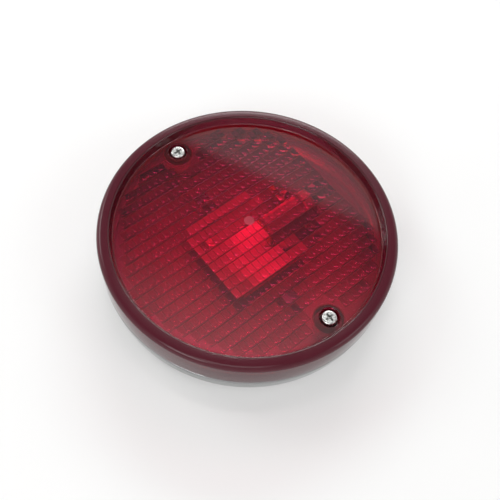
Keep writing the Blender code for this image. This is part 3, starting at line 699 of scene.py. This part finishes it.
def add_prisms(bm):
    """Pillow prisms that bulge into the lamp; returns their outline's edges at the flat underside."""
    across = cell_line(CELL_X, CELL_STEPS_X, COLUMN_GROOVE, COLUMN_GROOVE_DEPTH)
    along = cell_line(CELL_Y, CELL_STEPS_Y, ROW_GROOVE, ROW_GROOVE_DEPTH)
    pillow_low = FACE_UNDER - (CELL_X ** 2 + CELL_Y ** 2) / (8 * PILLOW_RADIUS)
    verts = {}

    def point(i, j):
        if (i, j) not in verts:
            column, aside = divmod(i, len(across))
            row, ahead = divmod(j, len(along))
            x = (column + 0.5) * CELL_X + across[aside][0]
            y = row * CELL_Y + along[ahead][0]
            verts[i, j] = bm.verts.new((x, y, pillow_low + across[aside][1] + along[ahead][1]))
        return verts[i, j]

    for column, row in pillow_cells():
        for i in range(column * len(across), (column + 1) * len(across)):
            for j in range(row * len(along), (row + 1) * len(along)):
                face = bm.faces.new((point(i, j), point(i + 1, j), point(i + 1, j + 1), point(i, j + 1)))
                # Faces in the grooves take the dark edge red, a painted shade along the grooves
                in_column = i % len(across) in (0, len(across) - 1)
                in_row = j % len(along) in (0, len(along) - 1)
                face.material_index = ON_EDGE if in_column or in_row else ON_FACE

    edges = dict.fromkeys(edge for vert in verts.values() for edge in vert.link_edges)
    border = [edge for edge in edges if edge.is_boundary]
    lifted = {}
    for vert in dict.fromkeys(vert for edge in border for vert in edge.verts):
        vert.co.z = min(vert.co.z, FACE_UNDER)
        at_flat = abs(vert.co.z - FACE_UNDER) < MERGE_GAP
        lifted[vert] = vert if at_flat else bm.verts.new((vert.co.x, vert.co.y, FACE_UNDER))
    outline = []
    for edge in border:
        first, second = edge.verts
        wall = list(dict.fromkeys((first, second, lifted[second], lifted[first])))
        if len(wall) > 2:
            bm.faces.new(wall)
        outline.append(bm.edges.get((lifted[first], lifted[second])))
    return outline


def in_boss(spot):
    """Whether a spot lies on one of the screw wells or bosses, below the face."""
    from_axis = (Vector((spot.x, abs(spot.y))) - Vector((0.0, SCREW_Y))).length
    return from_axis < BOSS_RADIUS + BOSS_FLARE and spot.z < WELL_MOUTH


def make_lens():
    bm = bmesh.new()
    outside = rounded([
        (FACE_EDGE, FACE_TOP),
        (FACE_RADIUS, FACE_TOP, 0.7 * MM),
        (RIM_INNER, RIM_TOP, RIM_ROUND),
        (LENS_RADIUS, RIM_TOP - RIM_FALL, SHOULDER),
        (LENS_RADIUS, LENS_LOW, 0.6 * MM),
        (REBATE_RADIUS, LENS_LOW, 0.15 * MM),
        (REBATE_RADIUS, REBATE_TOP, 0.3 * MM),
        (LENS_INNER, REBATE_TOP, 0.3 * MM),
        (LENS_INNER, FACE_UNDER, 2.0 * MM),
        (UNDER_EDGE, FACE_UNDER),
    ], steps=8)
    shell = spin(bm, outside, FINE_SIDES)
    face_loops, under_loops = [shell[0]], [shell[-1]]
    for _, sign in ENDS:
        well = rounded([
            (WELL_RADIUS + 0.4 * MM, FACE_TOP),
            (WELL_RADIUS, FACE_TOP, 0.25 * MM),
            (WELL_RADIUS, WELL_FLOOR, 0.4 * MM),
            (SCREW_HOLE, WELL_FLOOR, 0.1 * MM),
            (SCREW_HOLE, BOSS_LOW, 0.15 * MM),
            (BOSS_RADIUS, BOSS_LOW, 0.4 * MM),
            (BOSS_RADIUS, FACE_UNDER, 0.5 * MM),
            (BOSS_RADIUS + BOSS_FLARE, FACE_UNDER),
        ])
        wall = spin(bm, well, ROUND_SIDES, screw_place(sign))
        face_loops.append(wall[0])
        under_loops.append(wall[-1])
    gate = rounded([
        (GATE_RADIUS + 0.2 * MM, FACE_TOP),
        (GATE_RADIUS + 0.05 * MM, FACE_TOP),
        (GATE_RADIUS, FACE_TOP + GATE_RISE),
    ])
    mark = spin(bm, gate, ROUND_SIDES, Matrix.Translation(GATE_SPOT))
    fill(bm, face_loops + [mark[0]])
    gate_faces = fill(bm, [mark[-1]])
    for face in fill(bm, under_loops, DOWN, add_prisms(bm)):
        face.material_index = ON_PLAIN
    for face in gate_faces:
        face.material_index = ON_GATE
    for face in bm.faces:
        spot = face.calc_center_median()
        out = spot.xy.length
        on_lip = out > RIM_INNER - 2 * LOOK_MARGIN and spot.z > RIM_TOP - RIM_ROUND
        if out > RIM_INNER + RIM_ROUND and spot.z > RIM_TOP - RIM_FALL - SHOULDER:
            face.material_index = ON_SATIN
        elif on_lip or out > REBATE_RADIUS - LOOK_MARGIN:
            face.material_index = ON_EDGE
        elif out > LENS_INNER - LOOK_MARGIN or in_boss(spot):
            face.material_index = ON_DEEP
    attach(finish(bm, "lens_moulding", LENS_LOOKS, PRISM_ANGLE), "lens", "lens_red", "lens")


# Screws, washers and posts


def cross_outline(scale):
    """Outline of the cross recess, with its inner corners eased."""
    half, reach = CROSS_WIDTH / 2 * scale, CROSS_REACH * scale
    inner = half * 1.35
    tip = half * 0.8
    corners = []
    for turn in range(4):
        spin_by = Matrix.Rotation(turn * math.pi / 2, 2)
        arm = [(inner, -inner), (inner * 1.5, -half), (reach, -tip), (reach, tip), (inner * 1.5, half)]
        corners += [spin_by @ Vector(point) for point in arm]
    return corners


def thread_profile(height, angle):
    """Radius of the threaded shank, faded out at both ends."""
    phase = (height / THREAD_PITCH - angle / math.tau) % 1.0
    ridge = 1.0 - 2.0 * abs(phase - 0.5)
    fade = min(1.0, (height - SCREW_LOW) / THREAD_PITCH, (THREAD_TOP - height) / THREAD_PITCH)
    return THREAD_RADIUS - THREAD_DEPTH * (1.0 - max(fade, 0.0) * ridge)


def make_screw(label, sign):
    bm = bmesh.new()
    place = screw_place(sign)
    flat = HEAD_RADIUS - 0.95 * MM
    core = THREAD_RADIUS - THREAD_DEPTH
    head = rounded([
        (flat, HEAD_TOP),
        (HEAD_RADIUS, HEAD_TOP - 0.12 * MM, 1.0 * MM),
        (HEAD_RADIUS, HEAD_LOW, 0.2 * MM),
        (core, HEAD_LOW, 0.2 * MM),
        (core, THREAD_TOP),
    ], steps=8)
    rings = spin(bm, head, SMALL_SIDES, place)
    last = rings[-1]
    count = round((THREAD_TOP - SCREW_LOW) / THREAD_PITCH * THREAD_STEPS)
    for step in range(1, count + 1):
        height = THREAD_TOP + (SCREW_LOW - THREAD_TOP) * step / count
        spots = [polar(thread_profile(height, angle), angle, height) for angle in turns(SMALL_SIDES)]
        verts = [bm.verts.new(place @ spot) for spot in spots]
        join(bm, last, verts)
        last = verts
    bm.faces.new(last)
    cross_low = HEAD_TOP - CROSS_DEPTH
    top = [bm.verts.new(place @ Vector((*point, HEAD_TOP))) for point in cross_outline(1.0)]
    low = [bm.verts.new(place @ Vector((*point, cross_low))) for point in cross_outline(CROSS_TAPER)]
    fill(bm, [rings[0], top])
    join(bm, top, low)
    fill(bm, [low])
    # The faces of the cross recess take the darker zinc: painted shade in the recess
    for face in bm.faces:
        spot = place.inverted() @ face.calc_center_median()
        sunk = -CROSS_DEPTH - MERGE_GAP < spot.z - HEAD_TOP < -MERGE_GAP
        face.material_index = 1 if sunk and spot.xy.length < CROSS_REACH else 0
    screw = finish(bm, "screw_" + label, [ZINC, AGED_ZINC_AND_RECESS_SHADE])
    attach(screw, "screw_" + label, "zinc", "lens_screw_" + label)


def make_screw_seat(label, sign):
    """Sealing washer and post of one screw."""
    place = screw_place(sign)
    low, high, outer = heights("screw_washer_" + label)
    section = band(SCREW_HOLE, outer, low, high, 0.25 * MM)
    washer = turned("washer_" + label, section, RUBBER, place, ROUND_SIDES, True)
    attach(washer, "washer_" + label, "rubber", "screw_washer_" + label)

    low, high, outer = heights("screw_post_" + label)
    attach(turned("post_" + label, [
        (0.0, low),
        (POST_SPIGOT, low, 0.2 * MM),
        (POST_SPIGOT, FLOOR_TOP + SEAT_GAP),
        (outer, FLOOR_TOP + SEAT_GAP, 0.2 * MM),
        (outer, high, 0.5 * MM),
        (SCREW_HOLE, high, 0.3 * MM),
        (SCREW_HOLE, low + POST_HOLE_FLOOR, 0.2 * MM),
        (0.0, low + POST_HOLE_FLOOR),
    ], AGED_ZINC_AND_RECESS_SHADE, place, ROUND_SIDES), "base", "zinc", "screw_post_" + label)


# Pan, pad and gasket


def make_pan():
    bm = bmesh.new()
    wall_in = PAN_RADIUS - PAN_SHEET
    profile = rounded([
        (PAN_FLAT, PAN_LOW),
        (PAN_FOOT, PAN_LOW, PAN_CORNER),
        (PAN_RADIUS, PAN_TOP - 3.0 * MM, 1.0 * MM),
        (PAN_RADIUS + PAN_BEAD, PAN_TOP - 1.6 * MM, 0.6 * MM),
        (PAN_RADIUS + PAN_BEAD, PAN_TOP, 0.7 * MM),
        (PAN_FLANGE, PAN_TOP, 0.3 * MM),
        (PAN_FLANGE, PAN_TOP - PAN_SHEET, 0.3 * MM),
        (wall_in, PAN_TOP - PAN_SHEET, 0.4 * MM),
        (PAN_FOOT - PAN_SHEET, FLOOR_TOP, PAN_CORNER - PAN_SHEET),
        (PAN_FLAT, FLOOR_TOP),
    ], steps=8)
    shell = spin(bm, profile, FINE_SIDES)
    holes = pair(POST_HOLE, SCREW_Y) + pair(BOLT_HOLE, BOLT_Y)
    rivets = [kind + label for kind in ("tray_rivet_", "clamp_rivet_") for label, _ in ENDS]
    holes += [(RIVET_HOLE, middle(name).xy) for name in rivets]
    holes.append((GROMMET_HOLE, GROMMET.xy))
    close_flats(bm, shell, holes, PAN_LOW, FLOOR_TOP, HOLE_EDGE)
    for face in bm.faces:
        spot = face.calc_center_median()
        out = spot.xy.length
        on_floor = out < PAN_FLANGE + LOOK_MARGIN and spot.z > FLOOR_TOP - MERGE_GAP
        on_flange = out < PAN_BRIGHT_EDGE and spot.z > PAN_TOP - MERGE_GAP
        face.material_index = 1 if on_floor or on_flange else 0
    attach(finish(bm, "pan", [CHROME, DULL]), "base", "chrome", "base_pan")


def make_pad():
    bm = bmesh.new()
    low, high, radius = heights("seat_pad")
    flat, edge = radius - 2.0 * MM, 0.4 * MM
    profile = rounded([(flat, low), (radius, low, edge), (radius, high, edge), (flat, high)])
    rim = spin(bm, profile, FINE_SIDES)
    holes = pair(PAD_BOLT_HOLE, BOLT_Y) + [(PAD_CABLE_HOLE, GROMMET.xy)]
    close_flats(bm, rim, holes, low, high)
    attach(finish(bm, "pad", [RUBBER]), "base", "rubber", "seat_pad")


def make_gasket():
    low, high, outer = heights("lens_gasket")
    section = band(outer - GASKET_WIDTH, outer, low, high, 0.3 * MM)
    gasket = turned("gasket", section, RUBBER, sides=FINE_SIDES, closed=True)
    attach(gasket, "base", "rubber", "lens_gasket")


def make_grommet():
    low, high, reach = heights("cable_grommet")
    flange = reach - GROMMET.x
    neck = flange - GROMMET_FLANGE
    bore = neck - GROMMET_WALL
    seat_low, seat_high = PAN_LOW - SEAT_GAP, FLOOR_TOP + SEAT_GAP
    attach(turned("grommet", [
        (bore, low, 0.5 * MM),
        (flange, low, 0.4 * MM),
        (flange, seat_low, 0.3 * MM),
        (neck, seat_low, 0.1 * MM),
        (neck, seat_high, 0.1 * MM),
        (flange, seat_high, 0.3 * MM),
        (flange, high, 0.7 * MM),
        (bore, high, 0.5 * MM),
    ], RUBBER, at(GROMMET.xy), ROUND_SIDES, True), "base", "rubber", "cable_grommet")


def make_nut(label):
    """Hexagon nut with its corners turned off."""
    bm = bmesh.new()
    node = "mount_nut_" + label
    low, high, _ = heights(node)
    place = at(middle(node).xy)
    turned_off, lead = 0.45 * MM, 0.3 * MM

    def hexagon(height, top):
        verts = []
        for angle in turns(NUT_SIDES):
            across = NUT_FLAT / math.cos((angle + math.pi / 6) % (math.pi / 3) - math.pi / 6)
            verts.append(bm.verts.new(place @ polar(NUT_FLAT * 0.99 if top else across, angle, height)))
        return verts

    rings = [hexagon(low, True), hexagon(low + turned_off, False)]
    rings += [hexagon(high - turned_off, False), hexagon(high, True)]
    wide = NUT_BORE + lead
    for radius, height in ((wide, high), (NUT_BORE, high - lead), (NUT_BORE, low + lead), (wide, low)):
        rings.append(ring(bm, radius, height, NUT_SIDES, place))
    for first, second in zip(rings, rings[1:] + rings[:1]):
        join(bm, first, second)
    attach(finish(bm, "nut_" + label, [AGED_ZINC_AND_RECESS_SHADE]), "base", "zinc", node)


def make_rivet(node):
    low, high, reach = heights(node)
    center = middle(node)
    head = reach - center.x
    seat = high - RIVET_HEAD
    attach(turned("fixing_" + node, [
        (0.0, low),
        (RIVET_SHANK, low, 0.2 * MM),
        (RIVET_SHANK, seat),
        (head, seat, 0.15 * MM),
        (head * 0.8, high, 0.8 * MM),
        (0.0, high),
    ], TIN, at(center.xy)), "base", "tin", node)


# Reflector tray


def square_ring(bm, half, corner, height):
    """A square with round corners, with points at the notch's edges on every side."""
    verts = []
    for side in range(4):
        turn = Matrix.Rotation(side * math.pi / 2, 2)
        points = [Vector((half, NOTCH_HALF * share)) for share in (-1.0, -0.5, 0.0, 0.5, 1.0)]
        for step in range(CORNER_STEPS + 1):
            angle = math.pi / 2 * step / CORNER_STEPS
            inset = half - corner
            points.append(Vector((inset, inset)) + polar(corner, angle, 0.0).xy)
        verts += [bm.verts.new((*(turn @ point), height)) for point in points]
    return verts


def make_tray():
    bm = bmesh.new()
    low, high = TRAY_LOW + TRAY_SHEET / 2, TRAY_TOP - TRAY_SHEET * 0.1
    side = rounded([
        (TRAY_FLOOR - TRAY_CORNER, low),
        (TRAY_FLOOR, low, 1.5 * MM),
        (TRAY_RIM - TRAY_SHEET * 0.7, high),
    ])
    rings = []
    for half, height in side:
        rings.append(square_ring(bm, half, TRAY_CORNER + (half - TRAY_FLOOR) * 0.4, height))
    bm.faces.new(rings[0])
    notch = range(4)
    for level, (first, second) in enumerate(zip(rings, rings[1:])):
        for k in range(len(first)):
            after = (k + 1) % len(first)
            if k not in notch or level < 2:
                bm.faces.new((first[k], first[after], second[after], second[k]))
    tray = thicken(finish(bm, "tray", [TRAY_SHINE]), TRAY_SHEET)
    attach(tray, "base", "tin", "reflector_tray")


# Bulb


def make_bulb():
    ball_end = math.degrees(math.asin(NECK_RADIUS / BULB_RADIUS))
    inner_ball, inner_neck = BULB_RADIUS - GLASS_WALL, NECK_RADIUS - GLASS_WALL
    inner_end = math.degrees(math.asin(inner_neck / inner_ball))
    outside = arc(BULB_RADIUS, 180.0, ball_end, BALL_STEPS)
    inside = arc(inner_ball, inner_end, 180.0, BALL_STEPS)
    profile = outside + [Vector((NECK_RADIUS, NECK_END)), Vector((inner_neck, NECK_END))] + inside
    bm = bmesh.new()
    spin(bm, profile, ROUND_SIDES, AXIS)
    attach(finish(bm, "bulb_envelope", [FROSTED]), "bulb", "bulb_glass", "bulb_glass")

    start, end, outer = stations("bulb_cap")
    wall, hole = 0.6 * MM, 4.5 * MM
    groove = start + 2.6 * MM
    attach(turned("bulb_base", [
        (outer - wall, start, 0.1 * MM),
        (outer, start, 0.25 * MM),
        (outer, groove, 0.3 * MM),
        (outer - 0.35 * MM, groove + 0.45 * MM, 0.4 * MM),
        (outer, groove + 0.9 * MM, 0.3 * MM),
        (outer, end, 0.9 * MM),
        (hole, end, 0.15 * MM),
        (hole, end - wall, 0.15 * MM),
        (outer - wall, end - wall, 0.4 * MM),
    ], BRASS, AXIS, ROUND_SIDES, True), "bulb", "brass", "bulb_cap")

    start, end, disc = stations("cap_insulator")
    tip = turned("bulb_insulator", plug(disc, start, end, 0.2 * MM, 0.6 * MM), PHENOLIC, AXIS)
    attach(tip, "bulb", "phenolic", "cap_insulator")

    start, end, bead = stations("solder_contact")
    solder = turned("bulb_solder", plug(bead, start, end, 0.15 * MM, 0.5 * MM, 0.85), TIN, AXIS)
    attach(solder, "bulb", "tin", "solder_contact")

    for label, sign in ENDS:
        node = "bayonet_pin_" + label
        low, high = BOX[node]
        start, end = sorted((abs(low.y), abs(high.y)))
        aside = Matrix.Rotation(-sign * math.pi / 2, 4, "X")
        facing = Matrix.Translation((PIN_STATION, 0.0, AXIS_Z)) @ aside
        section = plug((high.x - low.x) / 2, start, end, 0.05 * MM, 0.3 * MM)
        attach(turned("pin_" + label, section, BRASS, facing), "bulb", "brass", node)
    make_mount()


def make_mount():
    """Stem, lead wires and filament inside the bulb."""
    start, end, flare = stations("glass_stem")
    attach(turned("bulb_stem", [
        (0.0, start),
        (STEM_RADIUS, start, 0.6 * MM),
        (STEM_RADIUS, end - 2.4 * MM, 1.2 * MM),
        (flare, end - 0.8 * MM, 0.3 * MM),
        (flare, end, 0.1 * MM),
        (0.0, end),
    ], GLASS, AXIS), "bulb", "bulb_glass", "glass_stem")

    for label, sign in ENDS:
        node = "lead_wire_" + label
        first = BOX[node][1].x - 0.1 * MM
        bend = (first * 0.5, WIRE_SPREAD, 1.0 * MM)
        corners = [(first, WIRE_ROOT), bend, (0.0, WIRE_SPREAD)]
        path = [Vector((x, sign * y, AXIS_Z)) for x, y in rounded(corners)]
        attach(tube("lead_" + label, path, WIRE_RADIUS, TUNGSTEN), "bulb", "tungsten", node)

    reach = BOX["filament"][1].y
    rise = -BOX["filament"][0].x - 0.4 * MM
    per_turn = 10
    count = FILAMENT_TURNS * per_turn
    path = []
    for step in range(count + 1):
        y = reach * (2.0 * step / count - 1.0)
        bow = -rise * (1.0 - (y / reach) ** 2)
        turn = polar(FILAMENT_COIL, math.tau * step / per_turn, 0.0)
        path.append(Vector((bow + turn.x, y, AXIS_Z + turn.y)))
    coil = tube("filament_coil", path, FILAMENT_WIRE, TUNGSTEN, 6, math.pi)
    attach(coil, "bulb", "tungsten", "filament")


# Holder


def breaks(values, step):
    """The values, with even steps between them no longer than step."""
    values = sorted(values)
    line = []
    for low, high in zip(values, values[1:]):
        count = max(1, math.ceil((high - low) / step - 1e-9))
        line += [low + (high - low) * k / count for k in range(count)]
    return line + [values[-1]]


def in_slot(x, angle):
    """Whether a spot of the barrel lies in one of its two bayonet slots."""
    near, far = SLOT_TURN - SLOT_ANGLE, SLOT_TURN + SLOT_ANGLE
    angle = (angle + math.pi / 2) % math.pi - math.pi / 2
    entry = near < angle < far and x < SLOT_DEEP
    across = -SLOT_ANGLE < angle < far and SLOT_DEEP - 2 * SLOT_HALF < x < SLOT_DEEP
    hook = -SLOT_ANGLE < angle < SLOT_ANGLE and PIN_STATION - SLOT_HALF < x < SLOT_DEEP
    return entry or across or hook


def make_holder():
    bm = bmesh.new()
    marks = [SLOT_ANGLE, SLOT_TURN - SLOT_ANGLE, SLOT_TURN + SLOT_ANGLE]
    borders = [mark + turn for turn in (0.0, math.pi) for mark in marks]
    borders += [turn - SLOT_ANGLE for turn in (0.0, math.pi, math.tau)]
    angles = breaks(borders, BARREL_TURN)[:-1]
    end = HOLDER_END - HOLDER_SHEET / 2
    slot_marks = [PIN_STATION - SLOT_HALF, SLOT_DEEP - 2 * SLOT_HALF, SLOT_DEEP]
    line = breaks([HOLDER_START, *slot_marks, end], BARREL_STEP)
    lip = rounded([(BARREL, line[-2]), (BARREL, end, 0.5 * MM), (BARREL - HOLDER_LIP, end)])
    outline = [(BARREL, x) for x in line[:-1]] + lip[1:]
    rows = []
    for ring_radius, x in outline:
        spots = [polar(ring_radius, angle, x) for angle in angles]
        rows.append([bm.verts.new((x, spot.x, AXIS_Z + spot.y)) for spot in spots])
    for level, (first, second) in enumerate(zip(rows, rows[1:])):
        x = (outline[level][1] + outline[level + 1][1]) / 2
        for k in range(len(angles)):
            after = (k + 1) % len(angles)
            step = (angles[after] - angles[k]) % math.tau
            if not in_slot(x, angles[k] + step / 2):
                bm.faces.new((first[k], first[after], second[after], second[k]))
    loose = [vert for vert in bm.verts if not vert.link_faces]
    bmesh.ops.delete(bm, geom=loose, context="VERTS")
    holder = thicken(finish(bm, "holder", [AGED_TIN]), HOLDER_SHEET)
    attach(holder, "base", "tin", "bulb_holder")


def make_contact():
    """Sprung contact in the holder."""
    start, end, head = stations("contact_button")
    attach(turned("contact_rivet", [
        (0.0, start),
        (head, start, 0.4 * MM),
        (head, start + CONTACT_HEAD, 0.1 * MM),
        (CONTACT_SHANK, start + CONTACT_HEAD),
        (CONTACT_SHANK, end, 0.2 * MM),
        (0.0, end),
    ], BRASS, AXIS), "contact", "brass", "contact_button")
    discs = (
        ("contact_carrier", "carrier", PHENOLIC, "phenolic", "contact", 0.3 * MM),
        ("contact_tag", "tag", BRASS, "brass", "contact", 0.15 * MM),
        ("holder_end_disc", "end_disc", PHENOLIC, "phenolic", "base", 0.3 * MM),
    )
    for node, name, material, slot, body, edge in discs:
        start, end, outer = stations(node)
        section = band(CONTACT_SHANK + SEAT_GAP, outer, start, end, edge)
        attach(turned(name, section, material, AXIS, ROUND_SIDES, True), body, slot, node)

    start, end, _ = stations("contact_spring")
    per_turn = 32
    count = SPRING_TURNS * per_turn
    path = []
    for step in range(count + 1):
        turn = polar(SPRING_COIL, math.tau * step / per_turn, 0.0)
        x = start + SPRING_WIRE + (end - start - 2 * SPRING_WIRE) * step / count
        path.append(Vector((x, turn.y, AXIS_Z + turn.x)))
    spring = tube("spring", path, SPRING_WIRE, TIN)
    attach(spring, "base", "tin", "contact_spring")
    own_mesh(spring)


def make_clamp():
    """Saddle that holds the barrel down, with the earth tag under one rivet."""
    low, high = BOX["holder_clamp"]
    sheet = 0.5 * MM
    half = sheet / 2
    radius = high.z - AXIS_Z - half
    foot = low.z + half + 0.1 * MM
    steps = 32
    angles = [math.pi * step / steps for step in range(steps + 1)]
    over = [Vector((radius * math.cos(a), AXIS_Z + radius * math.sin(a))) for a in angles]
    side = rounded([(high.y, foot), (radius, foot, 1.2 * MM), (radius, AXIS_Z)])[:-1]
    path = side + over + [(-y, z) for y, z in reversed(side)]
    clamp = sheet_strip("saddle", path, low.x + half, high.x - half, 4, AGED_TIN, sheet)
    attach(clamp, "base", "tin", "holder_clamp")

    low, high = BOX["earth_tag"]
    sheet = 0.6 * MM
    half = sheet / 2
    bend = (high.y - half, low.z + half, sheet)
    path = rounded([(low.y + half, low.z + half), bend, (high.y - half, high.z - half)])
    tag = sheet_strip("earth_strip", path, low.x, high.x, 3, BRASS, sheet)
    attach(tag, "base", "brass", "earth_tag")


# Stage


def make_floor():
    look = Look("paper_floor", (0.84, 0.837, 0.83), 0.8)
    two_tones(look, 14.0, (0.835, 0.832, 0.825), (0.845, 0.842, 0.835))
    look.bump(look.noise(700.0), 0.05 * MM, 0.1)
    path = look.node("ShaderNodeLightPath")
    seen = look.math("ADD", path.outputs["Is Camera Ray"], path.outputs["Is Glossy Ray"])
    seen = look.math("MINIMUM", look.math("ADD", seen, path.outputs["Is Transmission Ray"]), 1.0)
    look.set("Emission Color", (1.0, 0.995, 0.98, 1.0))
    look.set("Emission Strength", look.math("MULTIPLY", seen, FLOOR_LIFT))
    distance = look.node("ShaderNodeVectorMath", {0: look.place}, operation="LENGTH")
    look.set("Alpha", look.spread(distance.outputs["Value"], 1.0, 0.0, *FLOOR_FADE))
    bm = bmesh.new()
    bmesh.ops.create_grid(bm, x_segments=8, y_segments=8, size=3.0)
    floor = finish(bm, "floor", [look.material])


def aimed(place, target, turn):
    """A place with -Z towards a target, or straight down without one, turned about that line."""
    facing = Matrix()
    if target is not None:
        facing = (Vector(target) - Vector(place)).to_track_quat("-Z", "Y").to_matrix().to_4x4()
    return Matrix.Translation(place) @ facing @ Matrix.Rotation(turn, 4, "Z")


def fade_edge(lamp, share):
    """Fades a soft box out towards the far end of its depth."""
    nodes = Nodes(lamp)
    spot = nodes.node("ShaderNodeNewGeometry").outputs["Parametric"]
    split = nodes.node("ShaderNodeSeparateXYZ", {"Vector": spot})
    level = nodes.spread(split.outputs["Y"], 0.0, 1.0, 1.0, 1.0 - share, "SMOOTHSTEP")
    nodes.feed(nodes.tree.nodes["Emission"].inputs["Strength"], level)


def make_room():
    """Room light on the lamp, and plain white behind it."""
    SCENE.world = SCENE.world or bpy.data.worlds.new("room")
    nodes = Nodes(SCENE.world)
    nodes.tree.nodes.clear()
    direction = nodes.node("ShaderNodeTexCoord").outputs["Generated"]
    split = nodes.node("ShaderNodeSeparateXYZ", {"Vector": direction})
    tones = [(height, (level, level, level * 1.01)) for height, level in ROOM_LIGHT]
    room = nodes.node("ShaderNodeBackground", {"Color": nodes.ramp(split.outputs["Z"], *tones)})
    white = nodes.node("ShaderNodeBackground", {"Color": (1.0, 1.0, 1.0, 1.0)})
    output = nodes.node("ShaderNodeOutputWorld")
    nodes.by_ray("Is Camera Ray", room.outputs["Background"], white.outputs["Background"], output)


def make_lights():
    for name, place, aim, width, depth, radiance, turn, fade in SOFT_BOXES:
        lamp = bpy.data.lights.new(name, "AREA")
        lamp.shape = "RECTANGLE"
        lamp.size, lamp.size_y = width, depth
        lamp.energy = radiance * math.pi * width * depth
        if fade:
            fade_edge(lamp, fade)
        add_object(name, lamp).matrix_world = aimed(place, aim, math.radians(turn))


def make_camera():
    data = bpy.data.cameras.new("camera")
    data.lens = CAMERA_LENS
    data.sensor_width = SENSOR_WIDTH
    data.clip_start = NEAR_CLIP
    SCENE.camera = add_object("camera", data)
    SCENE.camera.matrix_world = aimed(CAMERA_PLACE, CAMERA_TARGET, CAMERA_ROLL)


make_lens()
for end_label, end_sign in ENDS:
    make_screw(end_label, end_sign)
    make_screw_seat(end_label, end_sign)
    make_nut(end_label)
    make_rivet("tray_rivet_" + end_label)
    make_rivet("clamp_rivet_" + end_label)
make_pan()
make_pad()
make_gasket()
make_grommet()
make_tray()
make_bulb()
make_holder()
make_contact()
make_clamp()
make_floor()
make_room()
make_lights()
make_camera()
SCENE.view_settings.view_transform = "Standard"
